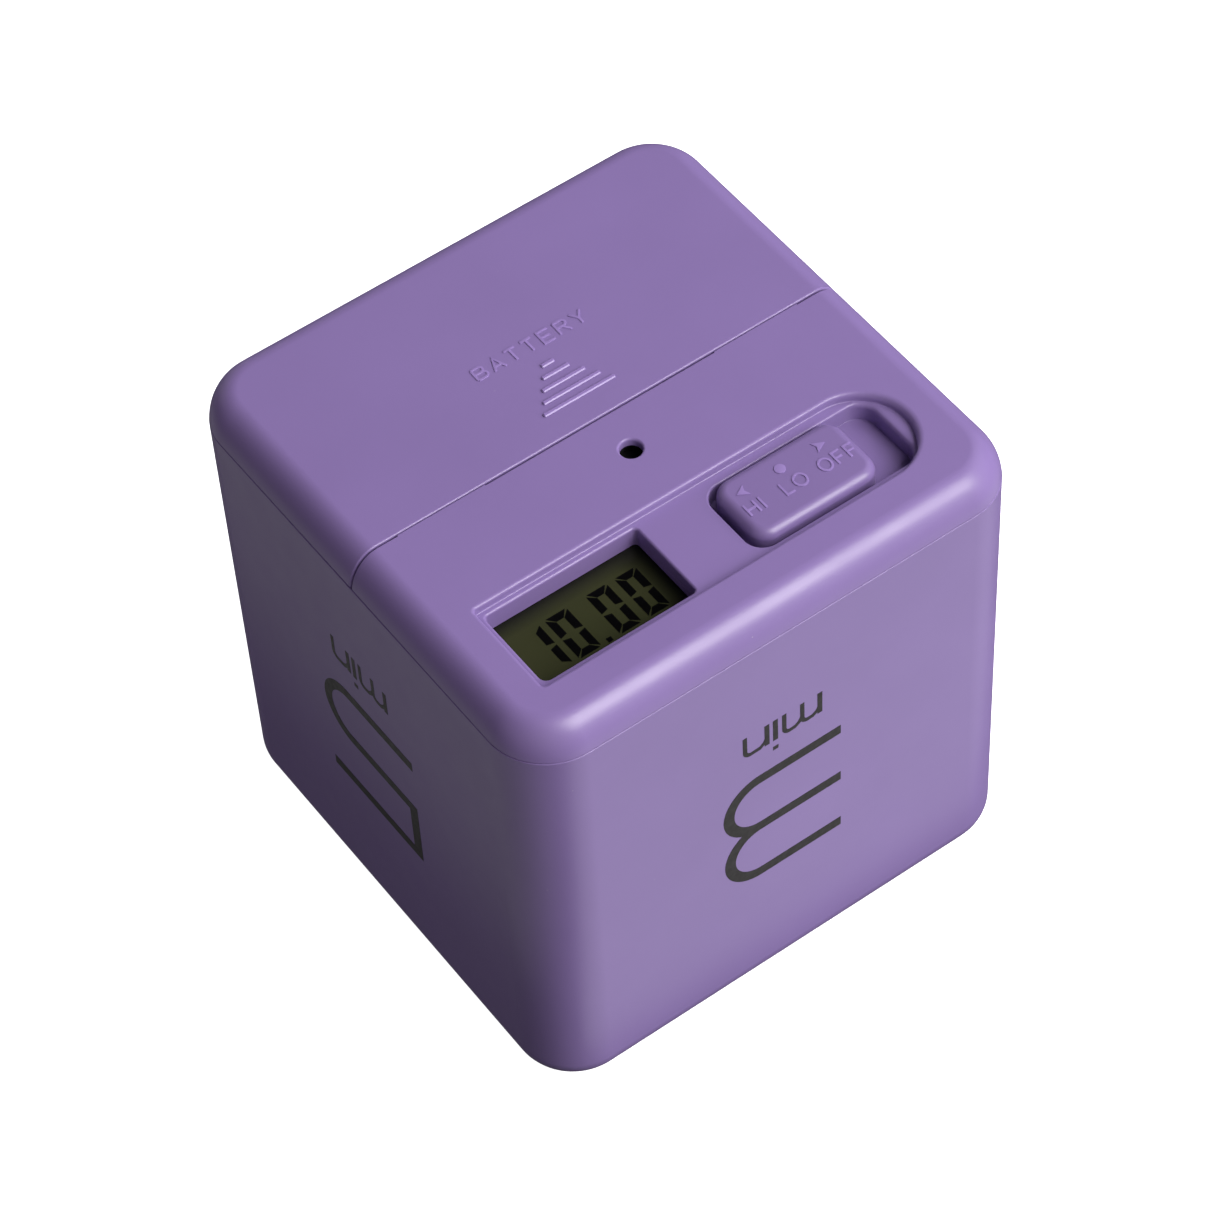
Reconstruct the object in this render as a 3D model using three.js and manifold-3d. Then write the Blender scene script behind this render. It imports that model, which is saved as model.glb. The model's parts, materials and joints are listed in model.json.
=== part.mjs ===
// A cube-shaped kitchen timer, in millimetres, +Z up. The origin is on the table, under the cube's middle.
// The lid faces up: the display and the slider are on its front (-Y) half, the battery door on its back.
// Everything hangs from the lid frame, so the five-sided body shell below it is nearly empty.

import * as THREE from 'three';
import { mergeVertices } from 'three/addons/utils/BufferGeometryUtils.js';
import Module from 'manifold-3d';

const wasm = await Module();
wasm.setup();

// ---------- driving dimensions ----------

const CUBE = 63.5; // side of the cube: width, depth and height
const HALF = CUBE / 2;
const CORNER_R = 7.2; // upright corners, seen from above
const WALL = 2.2; // side walls and floor
const FOOT_ROUND = 3.9; // rounding between the sides and the bottom face
const LID_H = 4.1; // lid height above the parting line
const LID_SKIN = 1.8; // thickness of the lid's top
const LID_ROUND_IN = 3.5; // lid rounding, measured inwards
const LID_ROUND_DOWN = 4.8; // lid rounding, measured downwards
const SEAM = 0.15; // gap at the parting line and at the door line
const FIT = 0.05; // gap between pieces that rest on each other
const REACH = 40; // beyond the cube on every side, for blocks that cut

const RECESS = { x0: -25.1, x1: 25.3, y0: -24.95, y1: -12.75 }; // the long shallow recess in the lid
const RECESS_DEPTH = 1.1;

const WINDOW = { x0: -24.3, x1: -5.35, y0: -23.9, y1: -13.45 };
const WINDOW_R = 0.5;
const DISPLAY_DEPTH = 3.7; // from the lid's top down to the display's face

const POCKET = { x0: 2.4, x1: 23.6, y0: -23.9, y1: -14.0 };
const POCKET_R = 2.3;
const POCKET_DEPTH = 3.4;
const POCKET_FLOOR = 1.2;
const FRAME_T = 1.2; // walls round the window and the pocket, under the lid

const KNOB = { x0: 3.1, length: 15.9, width: 9.0 }; // at its left stop, HI
const KNOB_R = 2.2;
const KNOB_ROUND = 1.2;
const KNOB_SKIN = 1.3;
const TRAVEL = 4.0; // HI to LO to OFF

const SOUND_HOLE = { x: 0, y: -5.45, r: 1.3 };

const TONGUE_IN = 14.7; // the door's two tongues run from here
const TONGUE_OUT = 25.6; // to here, on both sides
const TONGUE_L = 2.6;

const CELL_R = 5.25; // AAA cell
const CELL_L = 44.5;
const NUB_R = 1.9;
const NUB_L = 0.9;

const BOARD_T = 1.6;

// ---------- derived heights and places ----------

const TOP = CUBE;
const SEAM_Z = TOP - LID_H;
const SKIN_Z = TOP - LID_SKIN; // underside of the lid's top
const RECESS_Z = TOP - RECESS_DEPTH;
const DISPLAY_Z = TOP - DISPLAY_DEPTH;
const POCKET_Z = TOP - POCKET_DEPTH;
const POCKET_UNDER = POCKET_Z - POCKET_FLOOR;
const INNER = HALF - WALL; // inside face of the side walls
const LIP_OUT = INNER - 0.15; // the lid frame's lip, a slip fit inside the body
const LIP_IN = LIP_OUT - 1.4;
const LIP_Z = SEAM_Z - 3.0;
const DECK_Z = SEAM_Z - 0.2; // top of the deck under the battery door
const DECK_T = 1.6;
const DECK_Y0 = -0.4; // its front edge
const SLIDE_Y = (POCKET.y0 + POCKET.y1) / 2;
const KNOB_X = KNOB.x0 + KNOB.length / 2; // knob's middle at rest
const KNOB_Z0 = POCKET_Z + 0.2;
const KNOB_Z1 = TOP;
const BOARD_Z = 54.5; // top face of the circuit board
const BOARD_UNDER = BOARD_Z - BOARD_T;
const TRAY = { x: 23.6, y0: 1.6, y1: 23.6, wall: 1.1, z0: 48.0 };
const CELL_Z = 54.6;
const CELL_Y = [TRAY.y0 + 0.3 + CELL_R, TRAY.y1 - 0.3 - CELL_R];

// ---------- finishes ----------

function finish(color, roughness, metalness = 0) {
  return new THREE.MeshStandardMaterial({ color, roughness, metalness });
}

const purplePlastic = finish(0x8b76ae, 0.38);
const whitePlastic = finish(0xe8e6e0, 0.5);
const blackPlastic = finish(0x18181a, 0.45);
const brownPlastic = finish(0x6b3f22, 0.6);
const rubberFoam = finish(0x2b2b2b, 0.95);
const zebraRubber = finish(0xd9c8b4, 0.85);
const displayFilm = finish(0x36371f, 0.3);
const displayGlass = finish(0x6d7263, 0.1);
const boardGreen = finish(0x1f6b3a, 0.45);
const solderMetal = finish(0xc9ccd0, 0.35, 0.9);
const springMetal = finish(0xd5d7da, 0.25, 1.0);
const brassMetal = finish(0xc9a24a, 0.3, 1.0);
const steelMetal = finish(0xa9acb0, 0.3, 1.0);
const copperMetal = finish(0xb8693a, 0.35, 1.0);
const cellJacket = finish(0x3f4650, 0.35, 0.5);
const redPlastic = finish(0xb3201c, 0.5);
const magnetGrey = finish(0x3a3a3e, 0.7, 0.3);

// ---------- solids ----------

const timer = new THREE.Group();

function toSolid(geometry) {
  const bare = geometry.clone();
  bare.deleteAttribute('normal');
  bare.deleteAttribute('uv');
  const merged = mergeVertices(bare, 1e-5);
  return new wasm.Manifold(new wasm.Mesh({
    numProp: 3,
    vertProperties: new Float32Array(merged.attributes.position.array),
    triVerts: new Uint32Array(merged.index.array),
  }));
}

function toGeometry(solid) {
  const mesh = solid.getMesh();
  const geometry = new THREE.BufferGeometry();
  geometry.setAttribute('position', new THREE.BufferAttribute(new Float32Array(mesh.vertProperties), 3));
  geometry.setIndex(new THREE.BufferAttribute(new Uint32Array(mesh.triVerts), 1));
  geometry.computeVertexNormals();
  return geometry;
}

function place(name, solid, material) {
  const mesh = new THREE.Mesh(toGeometry(solid), material);
  mesh.name = name;
  timer.add(mesh);
}

// Places a numbered copy of a small piece at each of several spots.
function placeEach(name, spots, makeSolid, material) {
  spots.forEach((spot, i) => place(`${name}_${i + 1}`, makeSolid(spot), material));
}

function union(...solids) {
  return solids.reduce((whole, next) => whole.add(next));
}

function cut(solid, ...tools) {
  return tools.reduce((rest, tool) => rest.subtract(tool), solid);
}

function block(x0, x1, y0, y1, z0, z1) {
  const geometry = new THREE.BoxGeometry(x1 - x0, y1 - y0, z1 - z0);
  geometry.translate((x0 + x1) / 2, (y0 + y1) / 2, (z0 + z1) / 2);
  return toSolid(geometry);
}

// A block between two distances from the middle, on the right (side 1) or on the left (side -1).
function sideBlock(side, near, far, y0, y1, z0, z1) {
  return block(Math.min(side * near, side * far), Math.max(side * near, side * far), y0, y1, z0, z1);
}

// A round bar standing on z0, at (x, y).
function post(x, y, r, z0, z1, sides = 20, topR = r) {
  const geometry = new THREE.CylinderGeometry(topR, r, z1 - z0, sides);
  geometry.rotateX(Math.PI / 2);
  geometry.translate(x, y, (z0 + z1) / 2);
  return toSolid(geometry);
}

// A round bar along X (axis 'x') or along Y (axis 'y'), from a0 to a1 on that axis.
function bar(axis, a0, a1, across, z, r, sides = 20) {
  const geometry = new THREE.CylinderGeometry(r, r, a1 - a0, sides);
  if (axis === 'x') geometry.rotateZ(Math.PI / 2);
  const middle = (a0 + a1) / 2;
  if (axis === 'x') geometry.translate(middle, across, z);
  else geometry.translate(across, middle, z);
  return toSolid(geometry);
}

// A solid of revolution about an upright axis at (x, y); the profile is a list of [radius, z].
function turned(x, y, profile, sides = 24) {
  const geometry = new THREE.LatheGeometry(profile.map(([r, z]) => new THREE.Vector2(r, z)), sides);
  geometry.rotateX(Math.PI / 2);
  geometry.translate(x, y, 0);
  return toSolid(geometry);
}

function roundedRect(x0, x1, y0, y1, r) {
  const shape = new THREE.Shape();
  shape.moveTo(x0 + r, y0);
  shape.lineTo(x1 - r, y0);
  shape.absarc(x1 - r, y0 + r, r, -Math.PI / 2, 0);
  shape.lineTo(x1, y1 - r);
  shape.absarc(x1 - r, y1 - r, r, 0, Math.PI / 2);
  shape.lineTo(x0 + r, y1);
  shape.absarc(x0 + r, y1 - r, r, Math.PI / 2, Math.PI);
  shape.lineTo(x0, y0 + r);
  shape.absarc(x0 + r, y0 + r, r, Math.PI, Math.PI * 1.5);
  return shape;
}

// An upright prism of a rounded rectangle.
function slab(x0, x1, y0, y1, r, z0, z1, curveSegments = 6) {
  const shape = roundedRect(x0, x1, y0, y1, r);
  const geometry = new THREE.ExtrudeGeometry(shape, { depth: z1 - z0, bevelEnabled: false, curveSegments });
  geometry.translate(0, 0, z0);
  return toSolid(geometry);
}

// The same, with its top and bottom edges rounded: inwards by roundIn and along Z by roundDown.
function pillow(x0, x1, y0, y1, r, z0, z1, roundIn, roundDown, curveSegments, bevelSegments) {
  const geometry = new THREE.ExtrudeGeometry(roundedRect(x0, x1, y0, y1, r), {
    depth: z1 - z0 - 2 * roundDown,
    curveSegments,
    bevelSize: roundIn,
    bevelThickness: roundDown,
    bevelOffset: -roundIn,
    bevelSegments,
  });
  geometry.translate(0, 0, z0 + roundDown);
  return toSolid(geometry);
}

// A thin round wire through a list of points.
function wire(points, r, steps, sides = 6) {
  const path = new THREE.CatmullRomCurve3(points.map((p) => new THREE.Vector3(...p)), false, 'centripetal');
  const section = new THREE.Shape();
  for (let i = 0; i < sides; i++) {
    const angle = (i / sides) * Math.PI * 2;
    if (i === 0) section.moveTo(r * Math.cos(angle), r * Math.sin(angle));
    else section.lineTo(r * Math.cos(angle), r * Math.sin(angle));
  }
  section.closePath();
  return toSolid(new THREE.ExtrudeGeometry(section, { steps, bevelEnabled: false, extrudePath: path }));
}

// ---------- body shell ----------

// Two screws at the back hold the lid frame; two hooks on its lip hold it at the front.
const LID_SCREW = {
  x: 26.3, y: 27.0, bossTop: DECK_Z - DECK_T - 0.1, bossR: 2.4, pilotR: 0.85, clearR: 1.2, shankR: 0.8,
  headR: 1.7, headH: 0.75, sinkR: 1.9, sink: 0.8, length: 9,
};
const HOOK = { x: 14, halfW: 2, play: 0.3, bite: 0.6, z0: LIP_Z + 0.5, z1: LIP_Z + 1.3 };

function bodyShell() {
  const outer = pillow(-HALF, HALF, -HALF, HALF, CORNER_R, 0, TOP, FOOT_ROUND, FOOT_ROUND, 10, 6);
  const cavityR = CORNER_R - WALL;
  const round = FOOT_ROUND - WALL;
  const cavity = pillow(-INNER, INNER, -INNER, INNER, cavityR, WALL, TOP + 5, round, round, 8, 3);
  const above = block(-REACH, REACH, -REACH, REACH, SEAM_Z - SEAM, TOP + 10);
  let shell = cut(outer, cavity, above);
  for (const side of [-1, 1]) {
    const { x, y, bossTop, bossR, pilotR, length } = LID_SCREW;
    shell = shell.add(post(side * x, y, bossR, WALL - 1, bossTop, 16).intersect(outer));
    shell = cut(shell, post(side * x, y, pilotR, DECK_Z - 2 * length, bossTop + 1, 12));
    const halfW = HOOK.halfW + HOOK.play;
    shell = cut(shell, block(
      side * HOOK.x - halfW, side * HOOK.x + halfW, -INNER - HOOK.bite, -INNER + 0.5,
      HOOK.z0 - 0.4, HOOK.z1 + 0.4,
    ));
  }
  return shell;
}

// ---------- lid frame: front half of the lid, the lip, the deck and the bosses ----------

function lidBlank() {
  const whole = pillow(
    -HALF, HALF, -HALF, HALF, CORNER_R, TOP - 4 * LID_H, TOP, LID_ROUND_IN, LID_ROUND_DOWN, 10, 8,
  );
  return cut(whole, block(-REACH, REACH, -REACH, REACH, TOP - 5 * LID_H, SEAM_Z));
}

function lidCavity() {
  return ringSlab(INNER, SEAM_Z - 2, SKIN_Z);
}

// A square slab about the middle, whose corners are concentric with the cube's.
function ringSlab(half, z0, z1) {
  return slab(-half, half, -half, half, CORNER_R - (HALF - half), z0, z1, 8);
}

function lip() {
  const ring = cut(ringSlab(LIP_OUT, LIP_Z, DECK_Z), ringSlab(LIP_IN, LIP_Z - 1, DECK_Z + 1));
  const backCorners = [-1, 1].map((side) => {
    const x0 = side > 0 ? 22 : -32;
    return block(x0, x0 + 10, 22, 32, LIP_Z - 1, DECK_Z - DECK_T);
  });
  const hooks = [-1, 1].map((side) => {
    const x = side * HOOK.x;
    return block(x - HOOK.halfW, x + HOOK.halfW, -LIP_OUT - 0.45, -LIP_OUT + 0.3, HOOK.z0, HOOK.z1);
  });
  return union(cut(ring, ...backCorners), ...hooks);
}

// Joins the front half of the lid's skirt to the lip inside the body.
function frontLip() {
  const ledge = cut(ringSlab(INNER + 0.6, SEAM_Z, SEAM_Z + 1.2), ringSlab(LIP_IN, SEAM_Z - 1, SEAM_Z + 2));
  const neck = cut(ringSlab(LIP_OUT, DECK_Z - 0.5, SEAM_Z + 0.5), ringSlab(LIP_IN, SEAM_Z - 2, SEAM_Z + 2));
  return union(ledge, neck).intersect(block(-REACH, REACH, -REACH, -SEAM / 2, 0, TOP));
}

function deck() {
  const whole = ringSlab(LIP_OUT, DECK_Z - DECK_T, DECK_Z);
  const well = block(-TRAY.x, TRAY.x, TRAY.y0, TRAY.y1, DECK_Z - 5, DECK_Z + 5);
  return cut(whole.intersect(block(-REACH, REACH, DECK_Y0, REACH, 0, TOP)), well);
}

// Two rails on the deck; the door's hooks run under their outward flanges.
const RAIL = {
  x0: 26.0, x1: 27.0, flange: 28.0, y0: 2.2, y1: 23.0, under: DECK_Z + 1.0, top: DECK_Z + 1.7,
};

function rails() {
  return union(...[-1, 1].map((side) => {
    const web = sideBlock(side, RAIL.x0, RAIL.x1, RAIL.y0, RAIL.y1, DECK_Z - 0.5, RAIL.top);
    const flange = sideBlock(side, RAIL.x0, RAIL.flange, RAIL.y0, RAIL.y1, RAIL.under, RAIL.top);
    return web.add(flange);
  }));
}

// The recess is a long slot with a square left end and a half-round right end.
function recessShape(grow) {
  const r = (RECESS.y1 - RECESS.y0) / 2 + grow;
  const cy = (RECESS.y1 + RECESS.y0) / 2;
  const cx = RECESS.x1 + grow - r;
  const left = RECESS.x0 - grow;
  const shape = new THREE.Shape();
  shape.moveTo(left, cy - r);
  shape.lineTo(cx, cy - r);
  shape.absarc(cx, cy, r, -Math.PI / 2, Math.PI / 2);
  shape.lineTo(left, cy + r);
  shape.closePath();
  return shape;
}

function recess(grow, z0, z1) {
  const options = { depth: z1 - z0, bevelEnabled: false, curveSegments: 20 };
  const geometry = new THREE.ExtrudeGeometry(recessShape(grow), options);
  geometry.translate(0, 0, z0);
  return toSolid(geometry);
}

function windowFrame() {
  const w = WINDOW;
  const t = FRAME_T;
  return block(w.x0 - t, w.x1 + t, w.y0 - t, w.y1 + t, DISPLAY_Z + FIT, RECESS_Z);
}

function pocketTub() {
  const p = POCKET;
  const t = FRAME_T;
  return slab(p.x0 - t, p.x1 + t, p.y0 - t, p.y1 + t, POCKET_R + t, POCKET_UNDER, RECESS_Z);
}

const BOARD_BOSSES = [[-23.5, -5.2], [23.5, -5.2], [0.0, -26.0]];
const STEM = { x: 2.2, y: 1.7 }; // half sizes of the knob's stem

function lidFrame() {
  const front = block(-REACH, REACH, -REACH, -SEAM / 2, SEAM_Z - 1, TOP + 1);
  let frame = cut(lidBlank().intersect(front), lidCavity());
  frame = union(frame, lip(), frontLip(), deck(), rails());
  frame = union(frame, recess(1.3, RECESS_Z - 1.3, RECESS_Z + 0.2), windowFrame(), pocketTub());
  for (const [x, y] of BOARD_BOSSES) frame = frame.add(post(x, y, 2.2, BOARD_Z + FIT, SKIN_Z + 0.5, 16));
  frame = cut(frame, recess(0, RECESS_Z, TOP + 1));
  const w = WINDOW;
  frame = cut(frame, slab(w.x0, w.x1, w.y0, w.y1, WINDOW_R, DISPLAY_Z - 1, RECESS_Z + 0.5, 3));
  const p = POCKET;
  frame = cut(frame, slab(p.x0, p.x1, p.y0, p.y1, POCKET_R, POCKET_Z, RECESS_Z + 0.5));
  const slotX0 = KNOB_X - STEM.x - 0.3;
  const slotX1 = KNOB_X + TRAVEL + STEM.x + 0.3;
  const slotY = STEM.y + 0.3;
  const slot = block(slotX0, slotX1, SLIDE_Y - slotY, SLIDE_Y + slotY, POCKET_UNDER - 1, POCKET_Z + 1);
  frame = cut(frame, slot);
  frame = cut(frame, post(SOUND_HOLE.x, SOUND_HOLE.y, SOUND_HOLE.r, SKIN_Z - 1, TOP + 1, 24));
  for (const [x, y] of BOARD_BOSSES) frame = cut(frame, post(x, y, 0.85, BOARD_Z - 1, SKIN_Z - 1.5, 10));
  for (const side of [-1, 1]) {
    const x = side * LID_SCREW.x;
    frame = cut(frame, post(x, LID_SCREW.y, LID_SCREW.clearR, DECK_Z - 3, DECK_Z + 1, 12));
    frame = cut(frame, post(x, LID_SCREW.y, LID_SCREW.sinkR, DECK_Z - LID_SCREW.sink, DECK_Z + 1, 16));
  }
  // Clears the tongues of the door where they reach under the front half.
  for (const side of [-1, 1]) {
    const y0 = -TONGUE_L - 0.4;
    frame = cut(frame, sideBlock(side, TONGUE_IN - 0.4, TONGUE_OUT + 0.4, y0, 0.5, SKIN_Z - 1.9, SKIN_Z));
  }
  return frame;
}

// ---------- battery door ----------

function batteryDoor() {
  const back = block(-REACH, REACH, SEAM / 2, REACH, SEAM_Z - 1, TOP + 1);
  let door = cut(lidBlank().intersect(back), lidCavity());
  for (const side of [-1, 1]) {
    const root = sideBlock(side, TONGUE_IN, TONGUE_OUT, SEAM / 2, 4, SKIN_Z - 1.4, SKIN_Z + 0.3);
    const tip = sideBlock(side, TONGUE_IN, TONGUE_OUT, -TONGUE_L, 1, SKIN_Z - 1.4, SKIN_Z - 0.2);
    const hook = sideBlock(side, RAIL.x1 + 0.3, INNER + 0.5, 3.0, 20.0, SEAM_Z, RAIL.under - 0.2);
    door = union(door, root, tip, hook);
  }
  // One shallow rib stiffens the door between the cells and its back wall.
  return door.add(block(-20, 20, 27.2, 28.4, SKIN_Z - 1.2, SKIN_Z + 0.3));
}

// ---------- slider knob ----------

function sliderKnob() {
  const x0 = KNOB.x0;
  const x1 = KNOB.x0 + KNOB.length;
  const y0 = SLIDE_Y - KNOB.width / 2;
  const y1 = SLIDE_Y + KNOB.width / 2;
  const blank = pillow(x0, x1, y0, y1, KNOB_R, KNOB_Z0 - 4, KNOB_Z1, KNOB_ROUND, KNOB_ROUND, 6, 5);
  const skirt = cut(blank, block(x0 - 1, x1 + 1, y0 - 1, y1 + 1, KNOB_Z0 - 5, KNOB_Z0));
  const hollow = slab(x0 + 1.2, x1 - 1.2, y0 + 1.2, y1 - 1.2, 0.8, KNOB_Z0 - 1, KNOB_Z1 - KNOB_SKIN, 3);
  const bottom = SWITCH.top + 0.2;
  const stem = block(
    KNOB_X - STEM.x, KNOB_X + STEM.x, SLIDE_Y - STEM.y, SLIDE_Y + STEM.y,
    bottom, KNOB_Z1 - KNOB_SKIN + 0.3,
  );
  const barbs = block(
    KNOB_X - 1.1, KNOB_X + 1.1, SLIDE_Y - STEM.y - 0.6, SLIDE_Y + STEM.y + 0.6, bottom, POCKET_UNDER - 0.2,
  );
  const socket = block(
    KNOB_X - 1.25, KNOB_X + 1.25, SLIDE_Y - 1.15, SLIDE_Y + 1.15, bottom - 1, SWITCH.stub + 0.3,
  );
  return cut(union(cut(skirt, hollow), stem, barbs), socket);
}

// ---------- slide switch, with three positions ----------

const SWITCH = {
  x: KNOB_X + TRAVEL / 2, halfL: 7.6, halfW: 2.7, top: BOARD_Z + 3.6, stub: BOARD_Z + 5.4, sheet: 0.4,
};

// The switch's outline, smaller by inset on all four sides.
function switchBlock(inset, z0, z1) {
  const { x, halfL, halfW } = SWITCH;
  return block(
    x - halfL + inset, x + halfL - inset, SLIDE_Y - halfW + inset, SLIDE_Y + halfW - inset, z0, z1,
  );
}

function switchFrame() {
  const outer = switchBlock(0, BOARD_Z, SWITCH.top);
  const inner = switchBlock(SWITCH.sheet, BOARD_Z - 1, SWITCH.top - SWITCH.sheet);
  const slot = block(
    KNOB_X - 1.4, KNOB_X + TRAVEL + 1.4, SLIDE_Y - 1.2, SLIDE_Y + 1.2, SWITCH.top - 1, SWITCH.top + 1,
  );
  return cut(outer, inner, slot);
}

function switchBase() {
  let base = switchBlock(SWITCH.sheet + FIT, BOARD_Z, BOARD_Z + 0.8);
  for (const x of switchPins()) base = cut(base, post(x, SLIDE_Y, 0.35, BOARD_Z - 1, BOARD_Z + 2, 8));
  return base;
}

function switchPins() {
  return [-3, -1, 1, 3].map((step) => SWITCH.x + step * TRAVEL / 4);
}

function switchTerminal(x) {
  return union(
    post(x, SLIDE_Y, 0.3, BOARD_UNDER - 1.2, BOARD_Z + 0.9, 8),
    block(x - 0.7, x + 0.7, SLIDE_Y - 1.2, SLIDE_Y + 1.2, BOARD_Z + 0.85, BOARD_Z + 1.0),
  );
}

function switchWiper() {
  const x = KNOB_X;
  return union(
    block(x - 1.9, x + 1.9, SLIDE_Y - 1.2, SLIDE_Y + 1.2, BOARD_Z + 1.25, BOARD_Z + 1.4),
    block(x - 1.7, x - 0.9, SLIDE_Y - 0.8, SLIDE_Y + 0.8, BOARD_Z + 1.05, BOARD_Z + 1.3),
    block(x + 0.9, x + 1.7, SLIDE_Y - 0.8, SLIDE_Y + 0.8, BOARD_Z + 1.05, BOARD_Z + 1.3),
  );
}

function switchCarriage() {
  const x = KNOB_X;
  return union(
    block(x - 2.1, x + 2.1, SLIDE_Y - 1.9, SLIDE_Y + 1.9, BOARD_Z + 1.45, SWITCH.top - SWITCH.sheet - 0.15),
    block(x - 1.1, x + 1.1, SLIDE_Y - 1.0, SLIDE_Y + 1.0, BOARD_Z + 2.5, SWITCH.stub),
  );
}

// ---------- display ----------

const LCD = { x0: -25.9, x1: -3.8, y0: -25.9, y1: -12.0, ledge: -10.0, glass: 1.1, film: 0.2 };

function addDisplay() {
  const l = LCD;
  const z1 = DISPLAY_Z - l.film;
  const z2 = z1 - l.glass;
  const z3 = z2 - l.glass;
  const z4 = z3 - l.film;
  const film = (z0, zTop) => block(l.x0 + 0.4, l.x1 - 0.4, l.y0 + 0.4, l.y1 - 0.4, z0 + FIT, zTop);
  place('lcd_front_polariser', film(z1, DISPLAY_Z), displayFilm);
  place('lcd_front_glass', block(l.x0, l.x1, l.y0, l.ledge, z2 + FIT, z1), displayGlass);
  place('lcd_rear_glass', block(l.x0, l.x1, l.y0, l.y1, z3 + FIT, z2), displayGlass);
  place('lcd_rear_polariser', film(z4, z3), displayFilm);
  const strip = block(l.x0 + 1, l.x1 - 1, l.ledge - 1.7, l.ledge - 0.2, BOARD_Z + FIT, z2);
  place('zebra_strip', strip, zebraRubber);
  const rim = block(l.x0 - 0.8, l.x1 + 0.8, l.y0 - 0.8, l.y1 - 0.1, BOARD_Z + FIT, z4);
  const open = block(l.x0 + 0.8, l.x1 - 0.8, l.y0 + 0.8, l.y1 - 1.3, BOARD_Z - 1, z3 + 1);
  const boss = post(BOARD_BOSSES[2][0], BOARD_BOSSES[2][1], 2.5, BOARD_Z - 1, z3 + 1, 16);
  place('lcd_holder', cut(rim, open, boss), whitePlastic);
}

// ---------- circuit board and the parts on it ----------

function circuitBoard() {
  let board = slab(-27.4, 27.4, -27.4, -0.9, 3.4, BOARD_UNDER, BOARD_Z, 5);
  for (const [x, y] of BOARD_BOSSES) board = cut(board, post(x, y, 1.1, BOARD_UNDER - 1, BOARD_Z + 1, 12));
  for (const x of switchPins()) board = cut(board, post(x, SLIDE_Y, 0.5, BOARD_UNDER - 1, BOARD_Z + 1, 8));
  for (const side of [-1, 1]) {
    const x = SOUND_HOLE.x + side * BUZZER.pin;
    board = cut(board, post(x, SOUND_HOLE.y, 0.5, BOARD_UNDER - 1, BOARD_Z + 1, 8));
  }
  return board;
}

function addBoardParts() {
  const under = BOARD_UNDER;
  place('circuit_board', circuitBoard(), boardGreen);
  const blob = [
    [0, under - 1.6], [1.6, under - 1.5], [3.1, under - 1.2], [4.3, under - 0.6], [4.6, under], [0, under],
  ];
  place('chip_blob', turned(-8, -18, blob, 24), blackPlastic);
  place('crystal', bar('x', -19.5, -13.5, -24.2, under - 1.1, 1.0, 14), steelMetal);
  place('electrolytic_capacitor', post(4.5, -23.8, 2.0, under - 5.4, under, 18), steelMetal);
  place('boost_coil', turned(22.5, -13.5, [
    [0, under - 6.5], [3.0, under - 6.5], [3.0, under - 5.7], [2.2, under - 5.5], [2.2, under - 1.0],
    [3.0, under - 0.8], [3.0, under], [0, under],
  ], 20), blackPlastic);
  place('coil_winding', turned(22.5, -13.5, [
    [2.3, under - 5.4], [2.8, under - 5.2], [2.8, under - 1.2], [2.3, under - 1.0], [2.3, under - 5.4],
  ], 20), copperMetal);
  place('transistor', block(14.6, 17.5, -23.2, -21.8, under - 1.1, under), blackPlastic);
  const resistor = (x) => block(x, x + 1.6, -11.9, -11.1, under - 0.55, under);
  placeEach('chip_resistor', [-22, -18], resistor, blackPlastic);
  place('chip_capacitor', block(8.6, 10.6, -24.5, -23.25, under - 0.9, under), brownPlastic);
}

// ---------- buzzer, under the sound hole ----------

const BUZZER = { r: 4.6, top: BOARD_Z + 6.0, wall: 0.7, pin: 2.5 };

function addBuzzer() {
  const { x, y } = SOUND_HOLE;
  const b = BUZZER;
  const inner = b.r - b.wall;
  place('buzzer_case', turned(x, y, [
    [inner, BOARD_Z], [b.r, BOARD_Z], [b.r, b.top - 0.3], [b.r - 0.3, b.top], [1.0, b.top],
    [1.0, b.top - b.wall], [inner, b.top - b.wall], [inner, BOARD_Z],
  ], 28), blackPlastic);
  let base = post(x, y, inner - 0.1, BOARD_Z, BOARD_Z + 0.8, 24);
  for (const side of [-1, 1]) {
    base = cut(base, post(x + side * b.pin, y, 0.35, BOARD_Z - 1, BOARD_Z + 2, 8));
  }
  base = base.add(post(x, y, 0.9, BOARD_Z + 0.5, BOARD_Z + 3.4, 14));
  place('buzzer_base', base, steelMetal);
  place('buzzer_coil', turned(x, y, [
    [1.1, BOARD_Z + 1.0], [2.0, BOARD_Z + 1.0], [2.0, BOARD_Z + 3.2], [1.1, BOARD_Z + 3.2],
    [1.1, BOARD_Z + 1.0],
  ], 20), copperMetal);
  place('buzzer_magnet', turned(x, y, [
    [3.0, BOARD_Z + 1.0], [3.7, BOARD_Z + 1.0], [3.7, BOARD_Z + 3.4], [3.0, BOARD_Z + 3.4],
    [3.0, BOARD_Z + 1.0],
  ], 24), magnetGrey);
  place('buzzer_diaphragm', post(x, y, inner - 0.1, BOARD_Z + 3.7, BOARD_Z + 3.85, 24), steelMetal);
  const pin = (side) => post(x + side * b.pin, y, 0.3, BOARD_UNDER - 1.2, BOARD_Z + 0.75, 8);
  placeEach('buzzer_pin', [-1, 1], pin, solderMetal);
  place('buzzer_gasket', turned(x, y, [
    [2.2, b.top + FIT], [4.0, b.top + FIT], [4.0, SKIN_Z - FIT], [2.2, SKIN_Z - FIT], [2.2, b.top + FIT],
  ], 24), rubberFoam);
}

// ---------- tilt switches: a steel ball rolls from end to end in a can ----------

const TILT = { r: 2.7, bore: 1.75, ball: 1.5, half: 5.0, plug: 1.6, wall: 0.6, roll: 1.7 };
const TILT_Z = BOARD_UNDER - 0.4 - TILT.r;

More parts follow.
